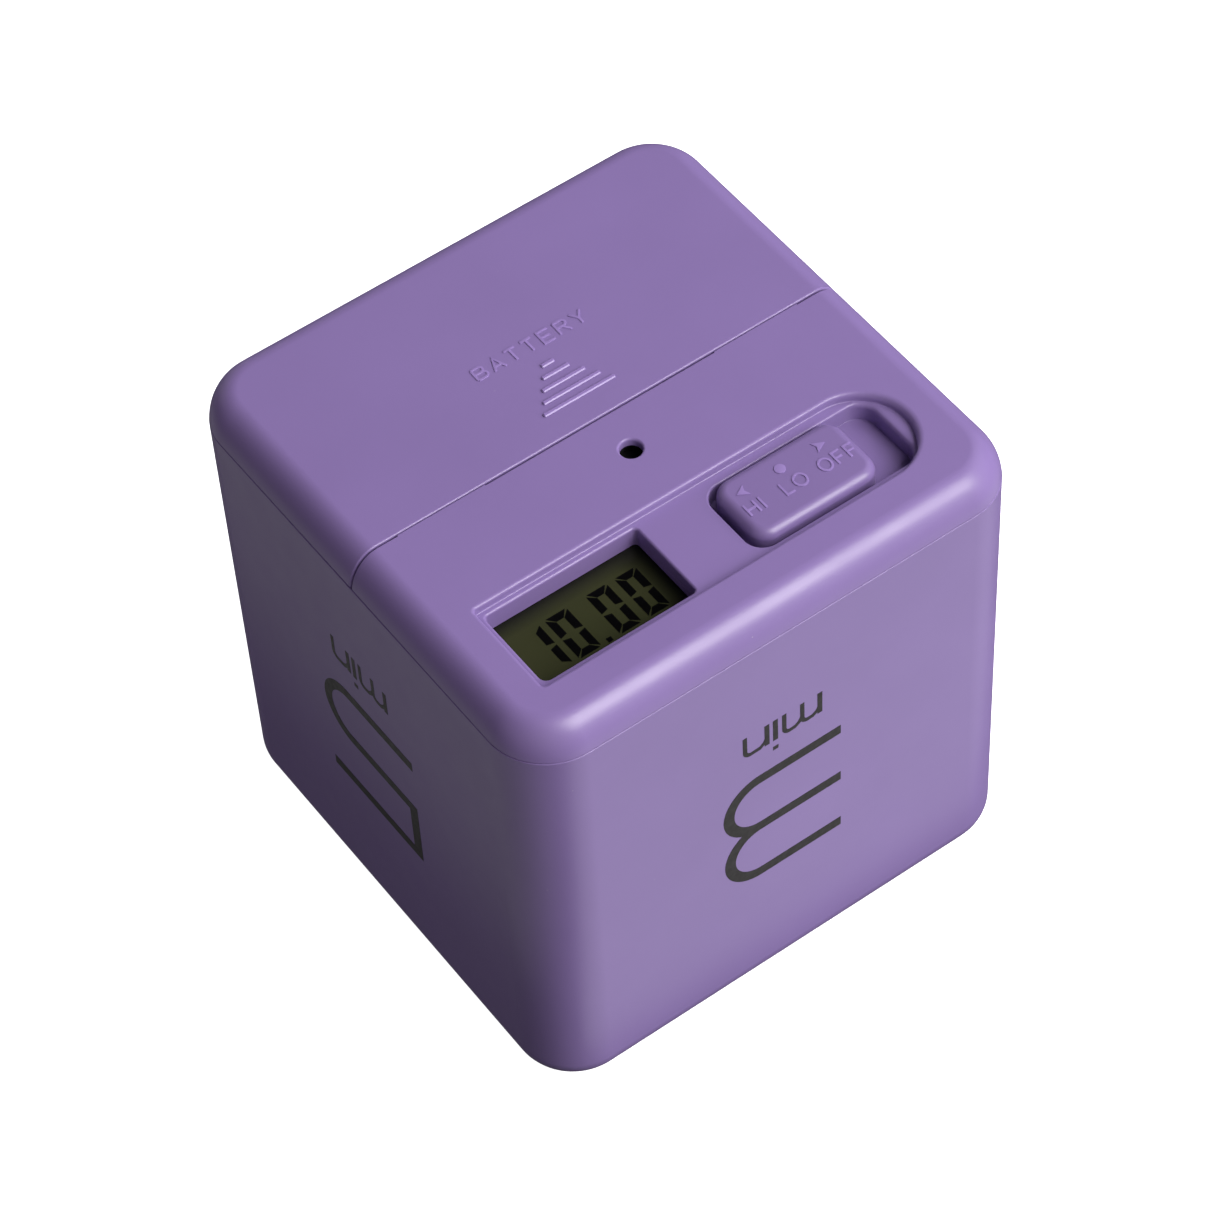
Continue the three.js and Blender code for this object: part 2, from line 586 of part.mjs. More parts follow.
function addTiltSwitch(name, axis, along, across) {
  const t = TILT;
  const can = cut(
    bar(axis, along - t.half, along + t.half, across, TILT_Z, t.r, 20),
    bar(axis, along - t.half + t.wall, along + t.half + 1, across, TILT_Z, t.r - 0.35, 20),
  );
  place(`${name}_can`, can, brassMetal);
  const tube = cut(
    bar(axis, along - t.half + t.wall + 0.1, along + t.half + 0.4, across, TILT_Z, t.r - 0.5, 20),
    bar(axis, along - t.roll - t.ball - 0.1, along + t.roll + t.ball + 0.1, across, TILT_Z, t.bore, 16),
    bar(axis, along - t.half - 1, along, across, TILT_Z, 0.8, 10),
  );
  place(`${name}_core`, tube, blackPlastic);
  const ball = new THREE.SphereGeometry(t.ball, 16, 10);
  const ballZ = TILT_Z - (t.bore - t.ball) + FIT;
  if (axis === 'x') ball.translate(along, across, ballZ);
  else ball.translate(across, along, ballZ);
  place(`${name}_ball`, toSolid(ball), steelMetal);
  const end = along + t.half + 0.4;
  const route = [[end, TILT_Z], [end + 0.7, TILT_Z], [end + 1.2, TILT_Z + 0.8], [end + 1.2, BOARD_UNDER]];
  const lead = (side) => {
    const offset = across + side * 1.2;
    return wire(route.map(([a, z]) => (axis === 'x' ? [a, offset, z] : [offset, a, z])), 0.25, 8);
  };
  placeEach(`${name}_lead`, [-1, 1], lead, solderMetal);
}

// ---------- battery tray, cells and contacts ----------

function batteryTray() {
  const t = TRAY;
  const top = DECK_Z - DECK_T - FIT;
  const outer = block(-t.x - t.wall, t.x + t.wall, t.y0 - t.wall, t.y1 + t.wall, t.z0, top);
  const inner = block(-t.x, t.x, t.y0, t.y1, t.z0 + t.wall, top + 1);
  const ribs = [];
  for (const x of [-14, 0, 14]) {
    ribs.push(block(x - 0.6, x + 0.6, t.y0 - 0.2, t.y1 + 0.2, t.z0 + 0.5, CELL_Z - 2.6));
  }
  const room = CELL_R + 0.12;
  const tunnels = CELL_Y.map((y) => bar('x', -t.x, t.x, y, CELL_Z, room, 28));
  const headroom = CELL_Y.map((y) => block(-t.x, t.x, y - room, y + room, CELL_Z, top + 2));
  const cradles = cut(union(...ribs), ...tunnels, ...headroom);
  const tray = union(cut(outer, inner), cradles);
  const exits = CELL_Y.map((y) => block(t.x - 0.5, t.x + 2, y - 0.8, y + 0.8, t.z0 + 1.8, t.z0 + 3.4));
  return cut(tray, ...exits);
}

const PLATE_T = 0.4;

// A cell along X; its raised positive nub points along +X when side is 1, and touches the flat plate there.
function cell(y, side) {
  const nubEnd = side * (TRAY.x - PLATE_T - FIT);
  const shoulder = nubEnd - side * NUB_L;
  const flat = nubEnd - side * CELL_L;
  const jacket = bar('x', Math.min(flat, shoulder), Math.max(flat, shoulder), y, CELL_Z, CELL_R, 28);
  const root = shoulder - side * 0.2;
  return jacket.add(bar('x', Math.min(root, nubEnd), Math.max(root, nubEnd), y, CELL_Z, NUB_R, 16));
}

function contactPlate(side, y0, y1) {
  return sideBlock(side, TRAY.x - PLATE_T, TRAY.x, y0, y1, CELL_Z - 4.2, CELL_Z + 3.6);
}

// A cone-shaped spring of round wire that stands on the plate at the negative end of a cell.
function contactSpring(side, y) {
  const base = TRAY.x - PLATE_T - 0.1;
  const length = 2 * TRAY.x - CELL_L - 2 * PLATE_T - 0.6;
  const turns = 3;
  const points = [];
  const count = turns * 10;
  for (let i = 0; i <= count; i++) {
    const part = i / count;
    const angle = part * turns * Math.PI * 2;
    const r = 3.3 - 1.5 * part;
    const x = side * (base - part * length);
    points.push([x, y + r * Math.cos(angle), CELL_Z + r * Math.sin(angle)]);
  }
  return wire(points, 0.3, count);
}

function addContacts() {
  const [yA, yB] = CELL_Y;
  place('bridge_contact', union(contactPlate(-1, yA - 4.2, yB + 4.2), contactSpring(-1, yA)), springMetal);
  place('positive_contact', contactPlate(1, yA - 4.2, yA + 4.2), springMetal);
  place('negative_contact', union(contactPlate(1, yB - 4.2, yB + 4.2), contactSpring(1, yB)), springMetal);
}

// Both leads leave through notches in the tray's right wall and loop under the board to their pads.
function addLeads() {
  const [yA, yB] = CELL_Y;
  const exit = TRAY.x + 0.4;
  const out = TRAY.x + TRAY.wall + 1.0;
  const level = TRAY.z0 + 2.6;
  const pad = { x: 20.3, yRed: -2.6, yBlack: -5.6, z: BOARD_UNDER - 0.35 };
  place('red_lead', wire([
    [exit, yA, level], [out, yA, level], [out + 0.6, yA - 2.2, level - 1.6], [out - 0.6, 1.5, level - 3.6],
    [22.5, -1.5, level - 3.0], [pad.x + 0.3, pad.yRed, pad.z - 2.2], [pad.x, pad.yRed, pad.z],
  ], 0.55, 24, 8), redPlastic);
  place('black_lead', wire([
    [exit, yB, level], [out, yB, level], [out + 0.8, yB - 3, level - 2.1], [out + 0.6, 7.0, level - 5.0],
    [24.5, -0.5, level - 6.0], [21.6, -4.6, level - 4.0], [pad.x + 0.1, pad.yBlack, pad.z - 2.4],
    [pad.x, pad.yBlack, pad.z],
  ], 0.55, 30, 8), blackPlastic);
}

// ---------- screws ----------

function boardScrew([x, y]) {
  return union(
    post(x, y, 1.9, BOARD_UNDER - 1.3, BOARD_UNDER - FIT, 16),
    post(x, y, 0.8, BOARD_UNDER - 0.5, BOARD_Z + 4.5, 10),
  );
}

function lidScrew(side) {
  const x = side * LID_SCREW.x;
  return union(
    post(x, LID_SCREW.y, LID_SCREW.headR, DECK_Z - LID_SCREW.headH, DECK_Z, 16),
    post(x, LID_SCREW.y, LID_SCREW.shankR, DECK_Z - LID_SCREW.length, DECK_Z - 0.5, 10),
  );
}

// ---------- the timer ----------

place('body_shell', bodyShell(), purplePlastic);
place('lid_frame', lidFrame(), purplePlastic);
place('battery_door', batteryDoor(), purplePlastic);
place('slider_knob', sliderKnob(), purplePlastic);
place('switch_frame', switchFrame(), steelMetal);
place('switch_base', switchBase(), brownPlastic);
placeEach('switch_terminal', switchPins(), switchTerminal, solderMetal);
place('switch_carriage', switchCarriage(), blackPlastic);
place('switch_wiper', switchWiper(), brassMetal);
addDisplay();
addBoardParts();
addBuzzer();
addTiltSwitch('tilt_x', 'x', -12, -5.2);
addTiltSwitch('tilt_y', 'y', -12.0, 15.5);
place('battery_tray', batteryTray(), whitePlastic);
place('cell_a', cell(CELL_Y[0], 1), cellJacket);
place('cell_b', cell(CELL_Y[1], -1), cellJacket);
addContacts();
addLeads();
placeEach('board_screw', BOARD_BOSSES, boardScrew, steelMetal);
placeEach('lid_screw', [-1, 1], lidScrew, steelMetal);

export default timer;
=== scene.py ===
"""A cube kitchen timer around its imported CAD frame.

It adds fine shells, printed and raised marks, a display, cells, screws and the materials.
"""

import json
import math

import bmesh
import bpy
from mathutils import Matrix, Vector
from mathutils.geometry import delaunay_2d_cdt


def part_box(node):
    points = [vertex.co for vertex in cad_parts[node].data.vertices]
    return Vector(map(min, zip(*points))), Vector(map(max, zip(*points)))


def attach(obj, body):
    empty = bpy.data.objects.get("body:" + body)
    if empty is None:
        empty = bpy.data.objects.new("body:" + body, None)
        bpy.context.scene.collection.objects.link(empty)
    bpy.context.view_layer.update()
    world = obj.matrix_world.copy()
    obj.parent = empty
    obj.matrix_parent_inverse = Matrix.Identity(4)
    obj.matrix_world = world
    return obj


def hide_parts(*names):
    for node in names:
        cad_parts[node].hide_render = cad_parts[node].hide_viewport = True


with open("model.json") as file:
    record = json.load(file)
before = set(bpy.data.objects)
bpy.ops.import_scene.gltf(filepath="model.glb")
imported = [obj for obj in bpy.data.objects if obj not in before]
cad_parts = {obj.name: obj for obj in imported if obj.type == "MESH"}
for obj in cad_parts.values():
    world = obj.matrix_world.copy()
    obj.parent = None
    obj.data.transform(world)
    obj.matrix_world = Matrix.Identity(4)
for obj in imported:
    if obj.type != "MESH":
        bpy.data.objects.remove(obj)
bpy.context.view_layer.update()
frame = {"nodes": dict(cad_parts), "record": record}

MM = 0.001

# ---------- sizes in millimetres, from the frame where a node gives them ----------


def box_mm(node):
    low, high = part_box(node)
    return low / MM, high / MM


def middle_mm(node):
    return [(low + high) / 2 for low, high in zip(*box_mm(node))]


BODY_HIGH = box_mm("body_shell")[1]
KNOB_LOW, KNOB_HIGH = box_mm("slider_knob")
DOOR_LOW, DOOR_HIGH = box_mm("battery_door")

HALF = BODY_HIGH.x
TOP = box_mm("lid_frame")[1].z
BEYOND = 40  # past the cube on every side
RIM_Z = BODY_HIGH.z  # the body's open edge
SEAM_Z = DOOR_LOW.z  # the lid's lower edge
CORNER_R = 7.2
WALL = 2.2
INNER = HALF - WALL
FOOT_ROUND = 3.9
LID_ROUND_IN = 3.5
LID_ROUND_DOWN = 4.8
SKIN_Z = TOP - 1.8  # underside of the lid's top wall
EDGE = 0.12  # the small break on moulded edges

FRONT_EDGE_Y = -0.06  # the front half of the lid ends here beside the door's tongues,
FRONT_NOTCH_Y = -0.26  # and here elsewhere
DOOR_EDGE_Y = 0.07
DOOR_EDGE_ROUND = 0.24
TONGUE_IN = 14.7
TONGUE_OUT = 25.6
TONGUE_L = 2.6

RECESS = (-25.1, 25.3, -24.95, -12.75)
RECESS_RADII = (0.5, 6.09, 6.09, 0.5)  # front left, front right, back right, back left
RECESS_Z = TOP - 1.1
WINDOW = (-24.3, -5.35, -23.9, -13.45)
WINDOW_RADII = (0.9, 0.5, 0.5, 0.5)
FILM_Z = box_mm("lcd_front_polariser")[1].z
POCKET = (2.4, 23.6, -23.9, -14.0)
POCKET_RADII = (2.3, 2.3, 2.3, 2.3)
POCKET_Z = TOP - 3.4
SOUND_HOLE = Vector((0, -5.45))
SOUND_HOLE_R = 1.25

SCREW_X, SCREW_Y = [abs(middle) for middle in middle_mm("lid_screw_1")[:2]]
DECK_Z = box_mm("lid_screw_1")[1].z  # top of the deck under the battery door
DECK_UNDER = box_mm("battery_tray")[1].z + 0.05
BOARD_Z = box_mm("circuit_board")[1].z
KNOB_X, SLIDE_Y = middle_mm("slider_knob")[:2]
TRAVEL = 4.0
STEM = (2.2, 1.7)  # half sizes of the knob's stem
BOARD_BOSSES = ((-23.5, -5.2), (23.5, -5.2), (0.0, -26.0))
PLATE_X = (23.2, 23.55)  # faces of a contact plate, the outer one just clear of the tray's wall

# ---------- the camera ----------

CAMERA_TARGET = Vector((-0.50, 0.27, 31.71)) * MM
CAMERA_DISTANCE = 0.48299
CAMERA_AZIMUTH = math.radians(-33.113)
CAMERA_ELEVATION = math.radians(51.696)
CAMERA_ROLL = math.radians(-3.798)
CAMERA_LENS = 130.90


def make_camera():
    back = Vector((
        math.sin(CAMERA_AZIMUTH) * math.cos(CAMERA_ELEVATION),
        -math.cos(CAMERA_AZIMUTH) * math.cos(CAMERA_ELEVATION),
        math.sin(CAMERA_ELEVATION),
    ))
    level = Vector((0, 0, 1)).cross(back).normalized()
    upright = back.cross(level)
    right = level * math.cos(CAMERA_ROLL) + upright * math.sin(CAMERA_ROLL)
    up = back.cross(right)
    camera = bpy.data.objects.new("camera", bpy.data.cameras.new("camera"))
    camera.data.sensor_width = 36
    camera.data.lens = CAMERA_LENS  # in millimetres, as the sensor's width is
    camera.data.clip_start = 0.01
    camera.data.clip_end = 20
    turn = Matrix((right, up, back)).transposed().to_4x4()
    camera.matrix_world = Matrix.Translation(CAMERA_TARGET + back * CAMERA_DISTANCE) @ turn
    bpy.context.scene.collection.objects.link(camera)
    bpy.context.scene.camera = camera


make_camera()

# ---------- outlines: lists of (x, y) in millimetres, anticlockwise ----------


def rounded_rect(bounds, radii, grow=0.0, steps=14):
    """A rounded rectangle; grow moves every side outwards. radii start at the front left corner."""
    x0, x1, y0, y1 = bounds
    corners = [(x0, y0, 1, 1, 180), (x1, y0, -1, 1, 270), (x1, y1, -1, -1, 0), (x0, y1, 1, -1, 90)]
    points = []
    for (x, y, side_x, side_y, start), radius in zip(corners, radii):
        r = max(radius + grow, 0.02)
        inset = r - grow
        for i in range(steps + 1):
            angle = math.radians(start + 90 * i / steps)
            centre_x = x + side_x * inset
            centre_y = y + side_y * inset
            points.append((centre_x + r * math.cos(angle), centre_y + r * math.sin(angle)))
    return points


def circle(centre, radius, steps=48):
    turn = 2 * math.pi / steps
    angles = [i * turn for i in range(steps)]
    return [(centre[0] + radius * math.cos(a), centre[1] + radius * math.sin(a)) for a in angles]


def cube_outline(grow, steps=18):
    return rounded_rect((-HALF, HALF, -HALF, HALF), (CORNER_R,) * 4, grow, steps)


def arc(start_deg, end_deg, steps):
    """Pairs (cos, sin) along an arc."""
    out = []
    for i in range(steps + 1):
        angle = math.radians(start_deg + (end_deg - start_deg) * i / steps)
        out.append((math.cos(angle), math.sin(angle)))
    return out


# ---------- solids ----------


def new_object(name, bm):
    bmesh.ops.recalc_face_normals(bm, faces=bm.faces)
    mesh = bpy.data.meshes.new(name)
    bm.to_mesh(mesh)
    bm.free()
    made = bpy.data.objects.new(name, mesh)
    bpy.context.scene.collection.objects.link(made)
    return made


def loft(name, loops):
    """A closed solid through (outline, z) loops that all have the same number of points."""
    bm = bmesh.new()
    rings = [[bm.verts.new((x * MM, y * MM, z * MM)) for x, y in outline] for outline, z in loops]
    for lower, upper in zip(rings, rings[1:]):
        for i in range(len(lower)):
            j = (i + 1) % len(lower)
            bm.faces.new((lower[i], lower[j], upper[j], upper[i]))
    bm.faces.new(rings[0])
    bm.faces.new(rings[-1])
    return new_object(name, bm)


def profile_loft(name, outline_at, profile):
    """A loft whose outlines come from outline_at(grow), for a profile of (grow, z)."""
    return loft(name, [(outline_at(grow), z) for grow, z in profile])


def block(bounds, z0, z1, edge=0.0):
    """A box with its upright edges rounded by edge, which may be nothing."""
    if edge:
        outline = rounded_rect(bounds, (edge,) * 4, 0, 4)
        return loft("block", [(outline, z0), (outline, z1)])
    x0, x1, y0, y1 = bounds
    corners = [(x0, y0), (x1, y0), (x1, y1), (x0, y1)]
    return loft("block", [(corners, z0), (corners, z1)])


def soft_block(bounds, z0, z1, edge, corner=None):
    """A box with all its edges rounded by edge, and its upright ones by corner if that is given."""
    low = [(-edge * (1 - c), z0 + edge * (1 - s)) for c, s in arc(90, 0, 3)]
    high = [(-edge * (1 - c), z1 - edge * (1 - s)) for c, s in arc(0, 90, 3)]
    radii = (corner or 2 * edge,) * 4
    return profile_loft("soft_block", lambda g: rounded_rect(bounds, radii, g, 4), low + high)


def pin(centre, profile):
    """A solid of revolution about an upright axis, through (radius, z)."""
    return loft("pin", [(circle(centre, radius, 32), z) for radius, z in profile])


def cutter(outline_at, z0, z1, rim_round, head):
    """Cuts a hole from z0 whose rim at z1 is rounded outwards, and goes on above it by head."""
    profile = [(0, z0)]
    profile += [(rim_round * (1 - c), z1 - rim_round * (1 - s)) for c, s in arc(0, 90, 7)]
    profile.append((rim_round, z1 + head))
    return profile_loft("cutter", outline_at, profile)


def hollow(bounds, radii, z0, z1, floor_round, rim, right_rim):
    """Cuts a recess with a rounded rim; the rim at its right end has its own, larger, radius."""
    x0, x1, y0, y1 = bounds
    loops = []
    for c, s in arc(0, 90, 4):
        loops.append((rounded_rect(bounds, radii, -floor_round * (1 - s)), z0 + floor_round * (1 - c)))
    deepest = max(rim, right_rim)
    for step in range(13):
        z = z1 - deepest * math.cos(math.radians(90 * step / 12))
        side = rim_growth(z, z1, rim)
        right = rim_growth(z, z1, right_rim)
        sized = [radius + side for radius in radii]
        loops.append((rounded_rect((x0 - side, x1 + right, y0 - side, y1 + side), sized), z))
    loops.append((loops[-1][0], z1 + 0.8))
    return loft("hollow", loops)


def rim_growth(z, top, radius):
    """How far a rim rounded by radius has opened outwards at height z."""
    rise = max(0.0, z - (top - radius))
    return radius - math.sqrt(max(0.0, radius ** 2 - min(rise, radius) ** 2))


def apply_modifiers(target):
    graph = bpy.context.evaluated_depsgraph_get()
    mesh = bpy.data.meshes.new_from_object(target.evaluated_get(graph))
    target.modifiers.clear()
    old = target.data
    target.data = mesh
    bpy.data.meshes.remove(old)


def boolean(target, tool, operation):
    """Joins, cuts or intersects target with tool, and removes tool."""
    step = target.modifiers.new("step", "BOOLEAN")
    step.operation = operation
    step.solver = "EXACT"
    step.object = tool
    apply_modifiers(target)
    bpy.data.objects.remove(tool)
    return target


def add(target, *tools):
    for tool in tools:
        boolean(target, tool, "UNION")
    return target


def cut(target, *tools):
    for tool in tools:
        boolean(target, tool, "DIFFERENCE")
    return target


def tidy_mesh(target):
    bm = bmesh.new()
    bm.from_mesh(target.data)
    bmesh.ops.remove_doubles(bm, verts=bm.verts, dist=2e-7)
    bmesh.ops.dissolve_degenerate(bm, edges=bm.edges, dist=2e-7)
    bm.to_mesh(target.data)
    bm.free()


def join_flat_faces(target):
    """Dissolves the triangles of a CAD mesh into whole flat faces."""
    bm = bmesh.new()
    bm.from_mesh(target.data)
    flat = math.radians(0.5)
    bmesh.ops.dissolve_limit(bm, angle_limit=flat, verts=bm.verts, edges=bm.edges, delimit=set())
    bm.to_mesh(target.data)
    bm.free()


def soften(target, sharp_deg=32):
    """Smooth shading with sharp edges kept, and flat faces kept flat next to their rounded edges."""
    tidy_mesh(target)
    target.data.shade_smooth()
    target.data.set_sharp_from_angle(angle=math.radians(sharp_deg))
    weighted = target.modifiers.new("flat_faces", "WEIGHTED_NORMAL")
    weighted.keep_sharp = True
    return target


def break_edges(target, width, chosen=None, segments=3, angle_deg=40):
    """Rounds the sharp edges, or only those whose two end points satisfy chosen."""
    tidy_mesh(target)
    step = target.modifiers.new("edges", "BEVEL")
    step.width = width * MM
    step.segments = segments
    step.profile = 0.5
    step.use_clamp_overlap = chosen is None
    if chosen is None:
        step.limit_method = "ANGLE"
        step.angle_limit = math.radians(angle_deg)
    else:
        step.limit_method = "WEIGHT"
        bm = bmesh.new()
        bm.from_mesh(target.data)
        layer = bm.edges.layers.float.new("bevel_weight_edge")
        for edge in bm.edges:
            wanted = all(chosen(v.co / MM) for v in edge.verts)
            if wanted and edge.is_manifold and edge.calc_face_angle(0) > math.radians(angle_deg):
                edge[layer] = 1.0
        bm.to_mesh(target.data)
        bm.free()
    apply_modifiers(target)
    return target


# ---------- materials ----------


class Shader:
    """A material's node tree, built a node at a time."""

    def __init__(self, name):
        self.material = bpy.data.materials.new(name)
        self.material.use_nodes = True
        self.tree = self.material.node_tree
        self.surface = self.tree.nodes["Principled BSDF"]
        self.place = self.node("ShaderNodeTexCoord").outputs["Object"]

    def node(self, kind, inputs=None, **settings):
        """A new node. Each input that is named gets a value, or a link from an output."""
        made = self.tree.nodes.new(kind)
        for key, value in settings.items():
            setattr(made, key, value)
        for key, value in (inputs or {}).items():
            if isinstance(value, bpy.types.NodeSocket):
                self.tree.links.new(value, made.inputs[key])
            else:
                made.inputs[key].default_value = value
        return made

    def set(self, **values):
        for key, value in values.items():
            self.surface.inputs[key.replace("_", " ")].default_value = value

    def feed(self, socket, source):
        """Drives one of the surface's sockets."""
        self.tree.links.new(source, self.surface.inputs[socket])

    def axes(self):
        """The X, Y and Z of the place on the object, in metres."""
        return self.node("ShaderNodeSeparateXYZ", {0: self.place}).outputs

    def noise(self, scale, detail, roughness=0.5):
        """Noise with about scale bumps to the metre."""
        inputs = {"Vector": self.place, "Scale": scale, "Detail": detail, "Roughness": roughness}
        return self.node("ShaderNodeTexNoise", inputs).outputs["Fac"]

    def ramp(self, source, stops):
        """A colour for each (position, colour) in stops, blended between them."""
        made = self.node("ShaderNodeValToRGB", {"Fac": source})
        elements = made.color_ramp.elements
        while len(elements) < len(stops):
            elements.new(0.5)
        for element, (position, colour) in zip(elements, stops):
            element.position = position
            element.color = (*colour, 1.0)
        return made.outputs["Color"]

    def drift(self, source, first, second):
        """A colour that wanders between two with a noise, whose values stay near the middle."""
        return self.ramp(source, [(0.3, first), (0.7, second)])

    def multiply(self, first, second):
        return self.node("ShaderNodeMath", {0: first, 1: second}, operation="MULTIPLY").outputs[0]

    def remap(self, source, low, high, from_low=0.3, from_high=0.7):
        """A value that goes from low to high as source goes between the other two, and no further."""
        span = {"From Min": from_low, "From Max": from_high, "To Min": low, "To Max": high}
        return self.node("ShaderNodeMapRange", {"Value": source, **span}).outputs["Result"]

    def mix(self, factor, *colours):
        """A blend of two colours, each of them three numbers or an output."""
        first, second = [(*c, 1.0) if isinstance(c, tuple) else c for c in colours]
        inputs = {"Factor": factor, 6: first, 7: second}
        return self.node("ShaderNodeMix", inputs, data_type="RGBA").outputs[2]

    def bump(self, height, strength, distance):
        """Relief of up to distance millimetres."""
        inputs = {"Height": height, "Strength": strength, "Distance": distance * MM}
        self.feed("Normal", self.node("ShaderNodeBump", inputs).outputs["Normal"])


def grained(name, colour, roughness, spread=0.05, tint=0.06, grain_mm=0.25, depth_mm=0.012):
    """Moulded or rolled stock: a slow drift of colour, uneven gloss and a fine grain."""
    s = Shader(name)
    lighter = tuple(min(1.0, c * (1 + tint)) for c in colour)
    darker = tuple(c * (1 - tint) for c in colour)
    s.feed("Base Color", s.drift(s.noise(90, 3), darker, lighter))
    s.feed("Roughness", s.remap(s.noise(400, 2), roughness - spread, roughness + spread))
    s.bump(s.noise(1 / (grain_mm * MM), 3), 0.35, depth_mm)
    return s


WHITE = (1, 1, 1)
BLACK = (0, 0, 0)
PURPLE = (0.207, 0.1425, 0.343)


def purple_plastic(name="purple_plastic", tone=1.0):
    """Satin moulded plastic with a fine spark-eroded grain, a few specks of dust and slightly worn gloss."""
    s = Shader(name)
    s.set(IOR=1.5, Specular_IOR_Level=0.62)
    lighter = tuple(c * 1.025 * tone for c in PURPLE)
    darker = tuple(c * 0.975 * tone for c in PURPLE)
    base = s.drift(s.noise(60, 3), darker, lighter)
    specks = s.node("ShaderNodeTexVoronoi", {"Vector": s.place, "Scale": 330}, feature="F1")
    dust = s.ramp(specks.outputs["Distance"], [(0.018, WHITE), (0.034, BLACK)])
    sparse = s.ramp(s.noise(140, 1), [(0.60, BLACK), (0.64, WHITE)])
    pale = tuple(0.7 * c + 0.15 for c in PURPLE)
    s.feed("Base Color", s.mix(s.multiply(dust, sparse), base, pale))
    s.feed("Roughness", s.remap(s.noise(220, 4), 0.34, 0.39))
    s.bump(s.noise(4600, 3, 0.6), 0.5, 0.014)
    return s


def display_film():
    """The display's dark olive face, with painted shade along the window's edges, deepest at the back and
    right, where the window's walls keep the light off its reflector.
    """
    s = Shader("display_film")
    s.set(Roughness=0.30, IOR=1.49, Specular_IOR_Level=0.10)
    place = s.axes()
    x0, x1, y0, y1 = WINDOW
    # Painted shade: how far in from each edge of the window the face is darkened.
    painted_shade_edges = (("X", x0, 0.9), ("X", x1, -3.6), ("Y", y0, 0.7), ("Y", y1, -2.8))
    lit = [s.remap(place[axis], 0, 1, edge * MM, (edge + reach) * MM) for axis, edge, reach in painted_shade_edges]
    open_light = lit[0]
    for another in lit[1:]:
        open_light = s.multiply(open_light, another)
    open_colour = s.drift(s.noise(120, 2), (0.026, 0.029, 0.0128), (0.031, 0.033, 0.0148))
    # The near-black painted shade, blended in towards the window's edges.
    painted_shade_colour = (0.005, 0.005, 0.004)
    painted_shade_ramp = s.ramp(open_light, [(0.0, BLACK), (0.75, WHITE)])
    s.feed("Base Color", s.mix(painted_shade_ramp, painted_shade_colour, open_colour))
    s.bump(s.noise(2500, 2), 0.05, 0.004)
    return s


def brushed(name, colour, roughness, stretch=(1, 1, 14)):
    """Drawn or rolled metal: streaks along one axis break up the gloss."""
    s = Shader(name)
    s.set(Metallic=1.0)
    squeeze = s.node("ShaderNodeMapping", {"Vector": s.place, "Scale": stretch})
    s.place = squeeze.outputs["Vector"]
    streaks = s.noise(1500, 3)
    darker = tuple(c * 0.86 for c in colour)
    s.feed("Base Color", s.drift(streaks, darker, colour))
    s.feed("Roughness", s.remap(streaks, roughness - 0.06, roughness + 0.08))
    s.bump(streaks, 0.15, 0.01)
    return s


def cell_jacket():
    """A dark blue-grey metallic sleeve under clear lacquer, silver-grey towards both of its ends."""
    s = Shader("cell_jacket")
    s.set(Metallic=0.65, Coat_Weight=0.4, Coat_Roughness=0.12)
    away = s.node("ShaderNodeMath", {0: s.axes()["X"]}, operation="ABSOLUTE")
    silver_from = 15.5
    band = s.remap(away.outputs[0], 0, 1, silver_from * MM, (silver_from + 0.05) * MM)
    dark = s.drift(s.noise(300, 2), (0.030, 0.042, 0.064), (0.036, 0.050, 0.074))
    silver = s.drift(s.noise(260, 2), (0.36, 0.37, 0.39), (0.40, 0.41, 0.43))
    s.feed("Base Color", s.mix(band, dark, silver))
    s.feed("Roughness", s.remap(s.noise(120, 1), 0.28, 0.33))
    return s


def circuit_board():
    """Green solder mask over fine copper tracks, which show a little lighter and stand a little proud."""
    s = Shader("circuit_board")
    s.set(Coat_Weight=0.3, Coat_Roughness=0.2)
    stripes = {"wave_type": "BANDS", "bands_direction": "DIAGONAL", "wave_profile": "TRI"}
    tracks = s.node("ShaderNodeTexWave", {"Vector": s.place, "Scale": 260}, **stripes)
    where = s.ramp(s.noise(110, 0), [(0.49, BLACK), (0.51, WHITE)])
    lines = s.ramp(tracks.outputs["Fac"], [(0.52, BLACK), (0.58, WHITE)])
    copper = s.multiply(where, lines)
    mask = s.drift(s.noise(60, 2), (0.006, 0.062, 0.020), (0.008, 0.074, 0.025))
    s.feed("Base Color", s.mix(copper, mask, (0.016, 0.120, 0.040)))
    s.feed("Roughness", s.remap(s.noise(500, 2), 0.35, 0.5))
    s.bump(copper, 0.3, 0.03)
    return s


def display_glass():
    """The two glass plates of the display, tinted by what is between them."""
    s = grained("display_glass", (0.30, 0.32, 0.25), 0.08, spread=0.03, tint=0.03, depth_mm=0.002)
    s.set(Transmission_Weight=0.7, IOR=1.52)
    return s


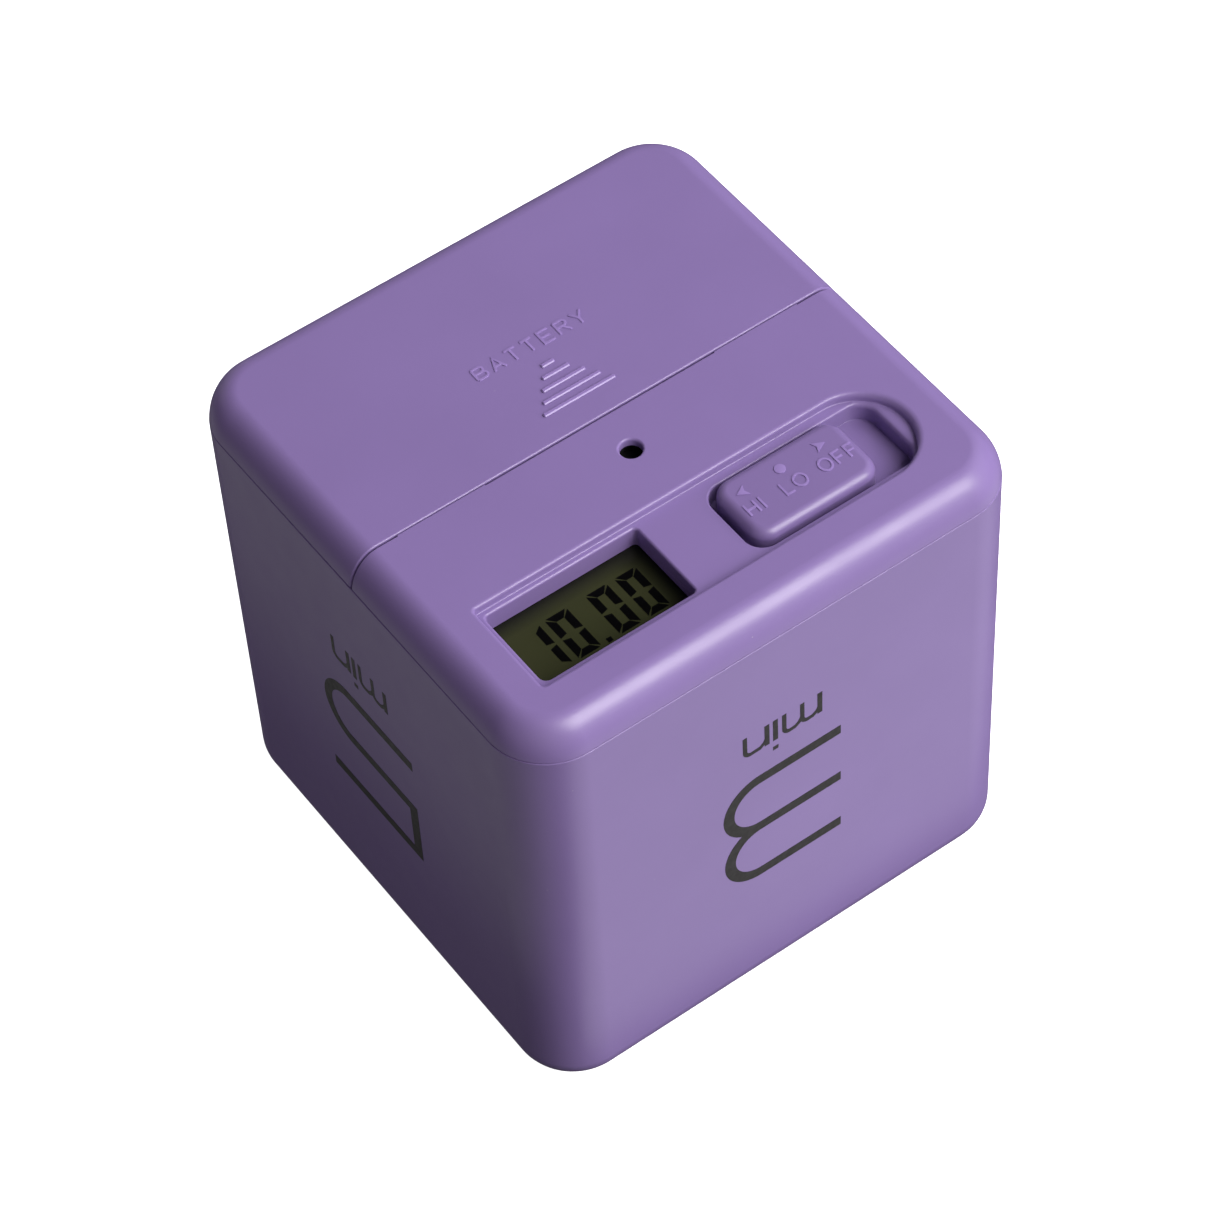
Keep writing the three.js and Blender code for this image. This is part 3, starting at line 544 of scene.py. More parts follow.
MATERIALS = {
    "purple_plastic": purple_plastic(),
    "white_plastic": grained("white_plastic", (0.62, 0.61, 0.57), 0.45),
    "black_plastic": grained("black_plastic", (0.018, 0.018, 0.020), 0.45),
    "brown_plastic": grained("brown_plastic", (0.13, 0.055, 0.022), 0.6),
    "red_plastic": grained("red_plastic", (0.42, 0.012, 0.010), 0.42),
    "black_wire": grained("black_wire", (0.015, 0.015, 0.016), 0.42),
    "foam": grained("foam", (0.022, 0.022, 0.022), 0.93, grain_mm=0.4, depth_mm=0.12),
    "zebra_rubber": grained("zebra_rubber", (0.50, 0.40, 0.31), 0.8),
    "display_film": display_film(),
    "display_glass": display_glass(),
    "circuit_board": circuit_board(),
    "solder": brushed("solder", (0.60, 0.61, 0.63), 0.32, (1, 1, 1)),
    "spring_steel": brushed("spring_steel", (0.72, 0.72, 0.71), 0.22, (1, 1, 8)),
    "brass": brushed("brass", (0.62, 0.42, 0.14), 0.28),
    "steel": brushed("steel", (0.46, 0.47, 0.49), 0.30, (1, 1, 5)),
    "copper": brushed("copper", (0.55, 0.20, 0.08), 0.30, (1, 1, 30)),
    "cell_jacket": cell_jacket(),
    "magnet": grained("magnet", (0.045, 0.045, 0.050), 0.7),
}


def ink():
    """Pad-printed dark grey ink: thin, slightly glossy, a little uneven."""
    s = Shader("ink")
    s.feed("Base Color", s.drift(s.noise(900, 3), (0.006, 0.0045, 0.005), (0.009, 0.007, 0.008)))
    s.feed("Roughness", s.remap(s.noise(1500, 3), 0.42, 0.54))
    s.bump(s.noise(6000, 2), 0.15, 0.006)
    return s


def segment_black():
    """The black of a driven segment, under the same matt film as the rest of the display."""
    s = Shader("segment_black")
    s.set(Specular_IOR_Level=0.06)
    s.feed("Base Color", s.drift(s.noise(900, 2), (0.0012, 0.0012, 0.0014), (0.0018, 0.0018, 0.0020)))
    s.feed("Roughness", s.remap(s.noise(1200, 2), 0.28, 0.36))
    return s


INK = ink()
SEGMENT = segment_black()
# The raised marks' plastic is painted paler, a painted highlight for the light that their rounded tops
# catch.
MARK_PAINTED_HIGHLIGHT = purple_plastic("painted_highlight_purple_plastic", 1.22)  # raised marks, a little paler than the lid
KNOB_PLASTIC = purple_plastic("knob_purple_plastic", 0.9)  # the knob, a little darker than the lid


def paint(piece, shader):
    piece.data.materials.clear()
    piece.data.materials.append(shader.material)


def dress(piece, shader, body, *replaced, slot=None):
    """Gives a new piece its material, its body and the nodes that it stands for."""
    paint(piece, shader)
    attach(piece, body)
    if replaced:
        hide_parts(*replaced)
    return piece


def moulded(piece, body, node, shader=MATERIALS["purple_plastic"]):
    """A purple moulding that stands for a CAD node."""
    return dress(soften(piece), shader, body, node, slot="purple_plastic")


def dress_cad_nodes():
    for row in frame["record"]["subparts"]:
        paint(frame["nodes"][row["node"]], MATERIALS[row["material_slot"]])


def refine_cad_node(name):
    """Rounds the edges of a CAD piece that stays, by modifiers only."""
    node = frame["nodes"][name]
    node.modifiers.new("weld", "WELD").merge_threshold = 1e-6
    edges = node.modifiers.new("edges", "BEVEL")
    edges.width = EDGE * MM
    edges.segments = 2
    edges.limit_method = "ANGLE"
    edges.angle_limit = math.radians(50)
    node.modifiers.new("flat_faces", "WEIGHTED_NORMAL").keep_sharp = True


dress_cad_nodes()
refine_cad_node("battery_tray")

# ---------- body shell ----------


VISIBLE_RIM_Z = RIM_Z + 0.05


def make_body():
    """The housing, with the bosses for the lid screws and a window for each of the lid's hooks."""
    foot = [(-FOOT_ROUND * (1 - c), FOOT_ROUND * (1 - s)) for c, s in arc(90, 0, 12)]
    rim = [(-EDGE * (1 - c), VISIBLE_RIM_Z - EDGE * (1 - s)) for c, s in arc(0, 90, 4)]
    inner_rim = [(-WALL + EDGE * (1 - s), VISIBLE_RIM_Z - EDGE * (1 - c)) for c, s in arc(0, 90, 3)]
    inside_round = FOOT_ROUND - WALL
    inside = [(-WALL - inside_round * (1 - c), WALL + inside_round * (1 - s)) for c, s in arc(0, 90, 6)]
    body = profile_loft("body_shell_fine", cube_outline, foot + rim + inner_rim + inside)
    boss_r, bore_r, bore_depth = 2.4, 0.85, 16
    for side in (-1, 1):
        centre = (side * SCREW_X, SCREW_Y)
        boss = [(boss_r, WALL - 1), (boss_r, DECK_UNDER - 0.2), (boss_r - 0.1, DECK_UNDER - 0.1)]
        bore = [(bore_r, DECK_UNDER - bore_depth), (bore_r, DECK_UNDER - 0.4), (1.3, DECK_UNDER + 0.1)]
        add(body, pin(centre, boss))
        cut(body, pin(centre, bore))
        window_x = side * 14
        window = (window_x - 2.3, window_x + 2.3, -INNER - 0.6, -INNER + 0.5)
        cut(body, block(window, DECK_Z - 2.7, DECK_Z - 1.1))
    return moulded(body, "root", "body_shell")


make_body()

# ---------- lid: front half and door share one blank ----------


def lid_blank(name):
    """The whole lid as an open-bottomed shell with an elliptical top rounding."""
    bottom = [(-WALL, SEAM_Z), (-EDGE, SEAM_Z), (-EDGE / 3, SEAM_Z + EDGE / 3)]
    start = math.degrees(math.asin((SEAM_Z + EDGE + LID_ROUND_DOWN - TOP) / LID_ROUND_DOWN))
    outside = [
        (-LID_ROUND_IN * (1 - c), TOP - LID_ROUND_DOWN * (1 - s)) for c, s in arc(start, 90, 16)
    ]
    round_in = 1.0
    inside = [(-WALL - round_in * (1 - s), SKIN_Z - round_in * (1 - c)) for c, s in arc(0, 90, 5)]
    return profile_loft(name, cube_outline, inside + bottom + outside)


def soft_rim(bounds, radii, grow, z0, z1):
    """The walls under the lid around an opening: its shape, larger by grow, with a rounded foot."""
    foot = [(grow - EDGE * (1 - c), z0 + EDGE * (1 - s)) for c, s in arc(90, 0, 3)]
    return profile_loft("walls", lambda g: rounded_rect(bounds, radii, g), foot + [(grow, z1)])


def make_lid_top():
    """The lid's front half: recess, window, slider pocket, sound hole and the bosses for the board."""
    lid = lid_blank("lid_top")
    front_half = (-BEYOND, BEYOND, -BEYOND, FRONT_EDGE_Y)
    boolean(lid, block(front_half, SEAM_Z - 1, TOP + 1), "INTERSECT")
    break_edges(lid, 0.10, lambda p: abs(p.y - FRONT_EDGE_Y) < 0.001 and p.z > SEAM_Z + 0.05)
    for x0, x1 in ((-BEYOND, -TONGUE_OUT), (-TONGUE_IN, TONGUE_IN), (TONGUE_OUT, BEYOND)):
        cut(lid, block((x0, x1, FRONT_NOTCH_Y, 1), SEAM_Z - 1, TOP + 1))
    wall = 1.2
    floor = soft_rim(RECESS, RECESS_RADII, 1.3, RECESS_Z - 1.3, RECESS_Z + 0.2)
    tube = soft_rim(WINDOW, (0.1,) * 4, wall, FILM_Z + 0.05, RECESS_Z - 0.1)
    tub = soft_rim(POCKET, POCKET_RADII, wall, POCKET_Z - wall, RECESS_Z - 0.15)
    foot_z = BOARD_Z + 0.05
    boss = [(2.1, foot_z), (2.2, foot_z + 0.1), (2.2, SKIN_Z + 0.3)]
    boss_hole = [(1.0, foot_z - 1), (1.0, foot_z + 0.05), (0.85, foot_z + 0.2), (0.85, SKIN_Z - 1.5)]
    add(lid, floor, tube, tub, *[pin(xy, boss) for xy in BOARD_BOSSES])
    room_x, room_y = STEM[0] + 0.3, STEM[1] + 0.3
    slot = (KNOB_X - room_x, KNOB_X + TRAVEL + room_x, SLIDE_Y - room_y, SLIDE_Y + room_y)
    cut(
        lid,
        hollow(RECESS, RECESS_RADII, RECESS_Z, TOP, floor_round=0.15, rim=0.42, right_rim=0.85),
        cutter(lambda g: rounded_rect(WINDOW, WINDOW_RADII, g, 8), FILM_Z - 1, RECESS_Z, 0.3, 0.8),
        hollow(POCKET, POCKET_RADII, POCKET_Z, RECESS_Z, floor_round=0.05, rim=0.28, right_rim=0.6),
        block(slot, POCKET_Z - 2, POCKET_Z + 1, 0.3),
        pin(SOUND_HOLE, [(2.15, SKIN_Z - 1), (2.15, TOP - 1.0)]),
        cutter(lambda g: circle(SOUND_HOLE, SOUND_HOLE_R + g), SKIN_Z - 1, TOP, 0.3, 1.0),
        *[pin(xy, boss_hole) for xy in BOARD_BOSSES],
    )
    return moulded(lid, "root", "lid_frame")


def copy_of(node, name):
    """A new object with the CAD node's shape, ready to be refined."""
    made = frame["nodes"][node].copy()
    made.data = frame["nodes"][node].data.copy()
    made.name = name
    for key in list(made.keys()):
        del made[key]
    made.parent = None
    made.hide_viewport = False
    made.hide_render = False
    bpy.context.scene.collection.objects.link(made)
    made.hide_set(False)
    tidy_mesh(made)
    return made


def make_lid_chassis():
    """The lip, the deck under the door, its rails and hooks: the CAD shape with its edges rounded."""
    chassis = copy_of("lid_frame", "lid_chassis")
    inside = profile_loft("inside", cube_outline, [(-WALL - 0.03, SEAM_Z - 3), (-WALL - 0.03, TOP + 3)])
    ring = cut(block((-BEYOND, BEYOND, -BEYOND, BEYOND), SEAM_Z - 0.1, TOP + 1), inside)
    x0, x1, y0, y1 = RECESS
    cut(
        chassis,
        ring,
        block((-BEYOND, BEYOND, -BEYOND, FRONT_EDGE_Y + 0.3), SEAM_Z + 1.15, TOP + 1),
        block((x0 - 1.5, x1 + 1.5, y0 - 1.5, y1 + 1.5), DECK_UNDER + 1, TOP + 1),
        *[pin(xy, [(2.3, BOARD_Z - 2), (2.3, TOP)]) for xy in BOARD_BOSSES],
    )
    join_flat_faces(chassis)
    break_edges(chassis, EDGE, segments=2, angle_deg=50)
    return moulded(chassis, "root", "lid_frame")


def make_door():
    """The lid's back half, with two tongues in front, a hook strip at each side and a rib behind."""
    door = lid_blank("battery_door_fine")
    back_half = (-BEYOND, BEYOND, DOOR_EDGE_Y, BEYOND)
    boolean(door, block(back_half, SEAM_Z - 1, TOP + 1), "INTERSECT")
    break_edges(door, DOOR_EDGE_ROUND, lambda p: abs(p.y - DOOR_EDGE_Y) < 0.001 and p.z > SEAM_Z + 0.05, 5)
    for side in (-1, 1):
        tongue = sorted((side * TONGUE_IN, side * TONGUE_OUT))
        hook = sorted((side * 27.3, side * (INNER + 0.5)))
        add(
            door,
            soft_block((*tongue, 0.3, 4), SKIN_Z - 1.4, SKIN_Z + 0.3, EDGE),
            soft_block((*tongue, -TONGUE_L, 1), SKIN_Z - 1.4, SKIN_Z - 0.2, 0.3, 0.8),
            soft_block((*hook, 3, 20), SEAM_Z, SEAM_Z + 0.6, 0.2),
        )
    add(door, soft_block((-20, 20, 27.2, 28.4), SKIN_Z - 1.2, SKIN_Z + 0.3, 0.2, 0.5))
    return moulded(door, "door", "battery_door")


make_lid_top()
make_lid_chassis()
make_door()

# ---------- slider knob ----------


def make_knob():
    """A hollow cap on a stem, which is barbed at its foot and has a socket for the switch's stub."""
    bounds = (KNOB_LOW.x, KNOB_HIGH.x, KNOB_LOW.y, KNOB_HIGH.y)
    top_round = 1.15
    skirt_z = POCKET_Z + 0.2
    foot = [(-0.1, skirt_z), (0, skirt_z + 0.1)]
    crown = [(-top_round * (1 - c), KNOB_HIGH.z - top_round * (1 - s)) for c, s in arc(0, 90, 10)]
    knob = profile_loft("slider_knob_fine", lambda g: rounded_rect(bounds, (2.2,) * 4, g), foot + crown)
    stem_x, stem_y = STEM
    under = KNOB_HIGH.z - 1.3
    x0, x1, y0, y1 = bounds
    wall = 1.2
    cut(knob, soft_block((x0 + wall, x1 - wall, y0 + wall, y1 - wall), skirt_z - 1, under, 0.4))
    foot_z = KNOB_LOW.z
    barb_y = stem_y + 0.6
    barbs = (KNOB_X - 1.1, KNOB_X + 1.1, SLIDE_Y - barb_y, SLIDE_Y + barb_y)
    stem = (KNOB_X - stem_x, KNOB_X + stem_x, SLIDE_Y - stem_y, SLIDE_Y + stem_y)
    add(knob, soft_block(stem, foot_z, under + 0.5, EDGE), soft_block(barbs, foot_z, foot_z + 0.4, EDGE))
    socket = (KNOB_X - 1.25, KNOB_X + 1.25, SLIDE_Y - 1.15, SLIDE_Y + 1.15)
    cut(knob, block(socket, foot_z - 1, foot_z + 1.9))
    return moulded(knob, "slider", "slider_knob", KNOB_PLASTIC)


make_knob()

# ---------- cells, springs and lid screws ----------


def along_x(name, centre, profile):
    """A solid of revolution about an axis along X, through (radius, x)."""
    rings = []
    for radius, x in profile:
        rings.append([(x, centre[0] + u, centre[1] + v) for u, v in circle((0, 0), radius)])
    return tube_mesh(name, rings)


def tube_mesh(name, rings):
    """A closed solid through rings of (x, y, z) points in millimetres."""
    bm = bmesh.new()
    made = [[bm.verts.new(Vector(p) * MM) for p in ring] for ring in rings]
    for first, second in zip(made, made[1:]):
        for i in range(len(first)):
            j = (i + 1) % len(first)
            bm.faces.new((first[i], first[j], second[j], second[i]))
    bm.faces.new(made[0])
    bm.faces.new(made[-1])
    return new_object(name, bm)


def make_cell(node, side):
    """A cell whose raised end points to +X when side is 1: sleeve, steel can ends and an insulating ring."""
    low, high = box_mm(node)
    centre = middle_mm(node)[1:]
    r = (high.z - low.z) / 2
    length = high.x - low.x
    flat_end = low.x if side > 0 else high.x
    top = length - 0.9  # the shoulder round the raised end, measured like the profiles from the flat end
    sleeve = [(r - 0.5, 0.25), (r - 0.15, 0.28), (r, 0.45)]
    sleeve += [(r, top - 0.3), (r - 0.12, top - 0.08), (r - 0.9, top)]
    ring = [(1.95, top - 0.4), (r - 1.0, top - 0.4)]
    ring += [(r - 1.0, top + 0.05), (2.4, top + 0.05), (1.95, top)]
    profiles = {
        "sleeve": sleeve,
        "can": [(0.5, 0), (3.6, 0), (4.3, 0.12), (r - 0.35, 0.2), (r - 0.35, 1.2), (0.5, 1.2)],
        "ring": ring,
        "nub": [(1.9, top - 0.5), (1.9, top + 0.4), (1.8, length - 0.12), (1.6, length), (0.4, length)],
    }
    slots = {"sleeve": "cell_jacket", "can": "steel", "ring": "black_plastic", "nub": "steel"}
    for part, profile in profiles.items():
        placed = [(radius, flat_end + side * x) for radius, x in profile]
        piece = soften(along_x(node + "_" + part, centre, placed), 40)
        dress(piece, MATERIALS[slots[part]], "root", node, slot=slots[part])


def make_spring(node, side, cell):
    """A cone of round wire that narrows from its contact plate towards the end of a cell."""
    reach = 1.4
    turns = 3
    count = turns * 24
    wire_r = 0.3
    start = Vector((side * PLATE_X[0], *middle_mm(cell)[1:]))
    rings = []
    for i in range(count + 1):
        part = i / count
        angle = part * turns * 2 * math.pi
        radius = 3.3 - 1.5 * part
        outward = Vector((0, math.cos(angle), math.sin(angle)))
        along = Vector((1, 0, 0))
        middle = start - along * side * part * reach + outward * radius
        rings.append([middle + (outward * c + along * s) * wire_r for c, s in arc(0, 330, 11)])
    spring = tube_mesh(node + "_spring", rings)
    add(spring, contact_plate(node, side))
    return dress(soften(spring, 50), MATERIALS["spring_steel"], "root", node, slot="spring_steel")


def contact_plate(node, side):
    """A thin sheet across X with rounded corners, broken edges and a hair's gap to the wall behind it."""
    low, high = box_mm(node)
    near, far = sorted(side * x for x in PLATE_X)
    edge = 0.08
    rings = []
    for x, inset in ((near, edge), (near + edge, 0), (far - edge, 0), (far, edge)):
        outline = rounded_rect((low.y, high.y, low.z, high.z), (0.8,) * 4, -inset, 6)
        rings.append([(x, y, z) for y, z in outline])
    return tube_mesh(node + "_plate", rings)


def make_plate_contact(node, side):
    plate = soften(contact_plate(node, side), 50)
    return dress(plate, MATERIALS["spring_steel"], "root", node, slot="spring_steel")


def make_lid_screw(node):
    """A pan-head screw with a cross recess."""
    low, high = box_mm(node)
    centre = middle_mm(node)[:2]
    r = (high.x - low.x) / 2
    shank_r = 0.8
    head_z = high.z - 0.75
    profile = [(0.1, low.z), (shank_r, low.z + 1.2), (shank_r, head_z), (r, head_z), (r, head_z + 0.3)]
    profile += [(0.4 + (r - 0.4) * c, head_z + 0.3 + 0.45 * s) for c, s in arc(12, 90, 6)]
    screw = pin(centre, profile)
    screw.name = node + "_fine"
    for half_x, half_y in ((1.05, 0.22), (0.22, 1.05)):
        arm = (centre[0] - half_x, centre[0] + half_x, centre[1] - half_y, centre[1] + half_y)
        slant = [(-0.12, high.z - 0.5), (0.0, high.z + 0.3)]
        cut(screw, profile_loft("arm", lambda g: rounded_rect(arm, (0.05,) * 4, g, 2), slant))
    return dress(soften(screw, 40), MATERIALS["steel"], "root", node, slot="steel")


def make_battery_parts():
    make_cell("cell_a", 1)
    make_cell("cell_b", -1)
    make_spring("bridge_contact", -1, "cell_a")
    make_spring("negative_contact", 1, "cell_b")
    make_plate_contact("positive_contact", 1)
    make_lid_screw("lid_screw_1")
    make_lid_screw("lid_screw_2")


make_battery_parts()

# ---------- flat and raised marks ----------


class Sheet:
    """A flat place to draw on: millimetres along u and v from origin, facing along u x v."""

    def __init__(self, origin, u, v):
        self.origin = Vector(origin)
        self.u = Vector(u)
        self.v = Vector(v)
        self.normal = self.u.cross(self.v)

    def at(self, u, v, out):
        return (self.origin + self.u * u + self.v * v + self.normal * out) * MM


def offset_path(points, distance):
    """The path moved to its left by distance, with mitred corners."""
    out = []
    for i, point in enumerate(points):
        before = points[max(i - 1, 0)]
        after = points[min(i + 1, len(points) - 1)]
        first = (Vector(point) - Vector(before)).normalized() if i else None
        second = (Vector(after) - Vector(point)).normalized() if i < len(points) - 1 else None
        first = first or second
        second = second or first
        left_1 = Vector((-first.y, first.x))
        left_2 = Vector((-second.y, second.x))
        mitre = (left_1 + left_2).normalized()
        out.append(Vector(point) + mitre * distance / max(mitre.dot(left_1), 0.5))
    return out


def stroke(points, width):
    """The outline of a line of the given width along points, with square ends."""
    return offset_path(points, width / 2)[::-1] + offset_path(points, -width / 2)


def ring_stroke(points, width):
    """The outlines that cover a closed line along points."""
    closed = points + points[:2]
    return [stroke(closed[i:i + 3], width) for i in range(0, len(closed) - 2)]


def bend(centre, radii, start, end, steps):
    """Points along an elliptical arc between two angles in degrees."""
    out = []
    for c, s in arc(start, end, steps):
        out.append((centre[0] + radii[0] * c, centre[1] + radii[1] * s))
    return out


def anticlockwise(outline):
    area = sum(a[0] * b[1] - b[0] * a[1] for a, b in zip(outline, outline[1:] + outline[:1]))
    return outline if area > 0 else outline[::-1]


def prism(name, sheet, outlines, sunk, proud):
    """One closed slab over the union of the outlines, from sunk below the sheet to proud above it."""
    points = []
    loops = []
    for outline in outlines:
        turned = anticlockwise([tuple(p) for p in outline])
        loops.append(list(range(len(points), len(points) + len(turned))))
        points += [Vector(p) for p in turned]
    verts, _, faces, _, _, origins = delaunay_2d_cdt(points, [], loops, 0, 1e-4)
    bm = bmesh.new()
    made = [bm.verts.new(sheet.at(p.x, p.y, -sunk)) for p in verts]
    for face, origin in zip(faces, origins):
        if origin:
            bm.faces.new([made[i] for i in face])
    loose = [v for v in bm.verts if not v.link_faces]
    bmesh.ops.delete(bm, geom=loose, context="VERTS")
    bmesh.ops.dissolve_limit(bm, angle_limit=0.001, verts=bm.verts, edges=bm.edges, delimit=set())
    grown = bmesh.ops.extrude_face_region(bm, geom=list(bm.faces), use_keep_orig=True)
    lifted = [v for v in grown["geom"] if isinstance(v, bmesh.types.BMVert)]
    bmesh.ops.translate(bm, verts=lifted, vec=sheet.normal * (sunk + proud) * MM)
    return new_object(name, bm)


def printed(name, sheet, outlines, shader):
    """Flat ink or display segments, thin enough to look like no more than a film."""
    return dress(prism(name, sheet, outlines, 0.01, 0.02), shader, "root")


def raised(name, sheet, outlines, body, height, edge, segments=3):
    """A moulded mark that stands out of the plastic, with its top edges rounded or chamfered."""
    mark = prism(name, sheet, outlines, 0.05, height)
    break_edges(mark, edge, segments=segments, angle_deg=50)
    soften(mark, 30).modifiers.clear()
    # The paler plastic is a painted highlight for the marks' rounded tops.
    return dress(mark, MARK_PAINTED_HIGHLIGHT, body)


# ---------- numerals on the four sides; v = 0 is the foot of the small word below them ----------

FACE_Z = 45.85
NUMERAL_W = 1.42
NUMERAL_LOW = 8.55
NUMERAL_HIGH = 25.05
NUMERAL_MID = (NUMERAL_LOW + NUMERAL_HIGH) / 2

SIDES = {
    "front": Sheet((0, -HALF, FACE_Z), (-1, 0, 0), (0, 0, -1)),
    "left": Sheet((-HALF, 0, FACE_Z), (0, 1, 0), (0, 0, -1)),
    "right": Sheet((HALF, 0, FACE_Z), (0, -1, 0), (0, 0, -1)),
    "back": Sheet((0, HALF, FACE_Z), (1, 0, 0), (0, 0, -1)),
}


def numeral_three():
    bowl = (NUMERAL_MID - NUMERAL_LOW) / 2
    lower = bend((3.8, NUMERAL_LOW + bowl), (bowl, bowl), -90, 90, 32)
    upper = bend((3.8, NUMERAL_MID + bowl), (bowl, bowl), -90, 90, 32)
    return [
        stroke([(-6.9, NUMERAL_LOW)] + lower, NUMERAL_W),
        stroke(upper + [(-6.9, NUMERAL_HIGH)], NUMERAL_W),
        stroke([(-6.9, NUMERAL_MID), (3.9, NUMERAL_MID)], NUMERAL_W),
    ]


def numeral_five():
    bowl = (NUMERAL_MID - NUMERAL_LOW) / 2
    belly = bend((4.1, NUMERAL_LOW + bowl), (bowl, bowl), -90, 90, 32)
    return [
        stroke([(-8.2, NUMERAL_LOW)] + belly + [(-8.1, NUMERAL_MID)], NUMERAL_W),
        stroke([(-7.4, NUMERAL_MID - NUMERAL_W / 2), (-7.4, NUMERAL_HIGH + NUMERAL_W / 2)], 1.5),
        stroke([(-8.15, NUMERAL_HIGH), (8.8, NUMERAL_HIGH)], NUMERAL_W),
    ]


def numeral_one(u):
    stem = stroke([(u, NUMERAL_LOW - NUMERAL_W / 2), (u, NUMERAL_HIGH + NUMERAL_W / 2)], NUMERAL_W)
    flag = stroke([(u - 3.6, NUMERAL_HIGH), (u, NUMERAL_HIGH)], NUMERAL_W)
    return [stem, flag]


def numeral_zero(u):
    high = bend((u, NUMERAL_HIGH - 4.1), (4.1, 4.1), 0, 180, 32)
    low = bend((u, NUMERAL_LOW + 4.1), (4.1, 4.1), 180, 360, 32)
    return ring_stroke(high + low, NUMERAL_W)


def arch(u0, u1, top):
    """The shoulder from one stem of an m or n to the next, with the second stem."""
    corner = bend((u1 - 0.75, top - 0.93), (0.75, 0.75), 90, 0, 8)
    line = [(u0, top - 1.25), (u0 + 0.35, top - 0.62), (u0 + 0.95, top - 0.22)] + corner + [(u1, 0)]
    return stroke(line, 0.56)


def word_min(rise):
    """The word min, with its foot at height rise."""
    top = 3.4
    m0, m1, m2, i0, n0, n1 = -4.15, -1.85, 0.5, 1.65, 2.75, 5.6
    outlines = [stroke([(u, 0), (u, top)], 0.64) for u in (m0, i0, n0)]
    outlines += [arch(m0, m1, top), arch(m1, m2, top), arch(n0, n1, top)]
    outlines.append(stroke([(i0, top + 1.0), (i0, top + 1.6)], 0.7))
    return [[(u, v + rise) for u, v in outline] for outline in outlines]


def print_sides():
    numerals = {
        "front": numeral_three(),
        "left": numeral_five(),
        "right": numeral_one(1.2),
        "back": numeral_one(-5.2) + numeral_zero(3.4),
    }
    for side, outlines in numerals.items():
        printed("numeral_" + side, SIDES[side], outlines, INK)
        rise = 0 if side == "front" else -0.15
        printed("word_" + side, SIDES[side], word_min(rise), INK)


print_sides()

# ---------- display digits ----------

DISPLAY = Sheet((0, 0, FILM_Z), (1, 0, 0), (0, 1, 0))
DIGIT_LOW = -22.0
DIGIT_HIGH = -15.85
DIGIT_MIDDLE = (DIGIT_LOW + DIGIT_HIGH) / 2
SEGMENT_W = 0.88
SEGMENT_GAP = 0.05
MIDDLE_GAP = 0.14  # from the middle of a digit to the tips of its upright bars
TIP = 0.22  # how far an upright bar's tip is cut back on its inner side
CORNER = 0.12  # how far the outer corners of a zero are cut off


def upright_segment(u, v0, v1, side):
    """An upright bar whose ends are cut to meet the level bars; side is -1 left and 1 right."""
    inner = u - side * SEGMENT_W / 2
    outer = u + side * SEGMENT_W / 2
    return [(outer, v0[0]), (outer, v1[0]), (inner, v1[1]), (inner, v0[1])]


def digit_zero(u0, u1):
    w = SEGMENT_W
    g = SEGMENT_GAP
    under, over = DIGIT_MIDDLE - MIDDLE_GAP, DIGIT_MIDDLE + MIDDLE_GAP
    outlines = []
    for side, u in ((-1, u0 + w / 2), (1, u1 - w / 2)):
        low = (DIGIT_LOW + CORNER + g, DIGIT_LOW + w + g)
        high = (DIGIT_HIGH - CORNER - g, DIGIT_HIGH - w - g)
        outlines.append(upright_segment(u, low, (under, under - TIP), side))
        outlines.append(upright_segment(u, (over, over + TIP), high, side))
    for level, inwards in ((DIGIT_LOW, 1), (DIGIT_HIGH, -1)):
        inner = level + inwards * w
        outer_edge = [(u0 + CORNER + g, level), (u1 - CORNER - g, level)]
        outlines.append(outer_edge + [(u1 - w - g, inner), (u0 + w + g, inner)])
    return outlines


def digit_one(u1):
    u = u1 - SEGMENT_W / 2
    under, over = DIGIT_MIDDLE - MIDDLE_GAP, DIGIT_MIDDLE + MIDDLE_GAP
    low = (DIGIT_LOW + 0.2, DIGIT_LOW + 0.85)
    high = (DIGIT_HIGH - 0.2, DIGIT_HIGH - 0.85)
    return [
        upright_segment(u, low, (under, under - TIP), 1),
        upright_segment(u, (over, over + TIP), high, 1),
    ]


def draw_display():
    outlines = digit_one(-19.45)
    for u0, u1 in ((-18.7, -15.95), (-13.6, -10.9), (-9.95, -7.3)):
        outlines += digit_zero(u0, u1)
    outlines.append(stroke([(-15.15, -21.85), (-14.55, -21.85)], 0.6))
    printed("display_digits", DISPLAY, outlines, SEGMENT)


draw_display()

# ---------- raised marks on the knob and the door ----------

KNOB_TOP = Sheet((0, 0, KNOB_HIGH.z), (1, 0, 0), (0, 1, 0))
DOOR_TOP = Sheet((0, 0, DOOR_HIGH.z), (1, 0, 0), (0, 1, 0))


def place_letters(word, width):
    """Strokes for each letter of word, given as (letter, u, v, wide, tall)."""
    outlines = []
    for letter, u, v, wide, tall in word:
        for line in GLYPHS[letter]:
            placed = [(u + x * wide, v + y * tall) for x, y in line]
            outlines += ring_stroke(placed, width) if line is ROUND else [stroke(placed, width)]
    return outlines


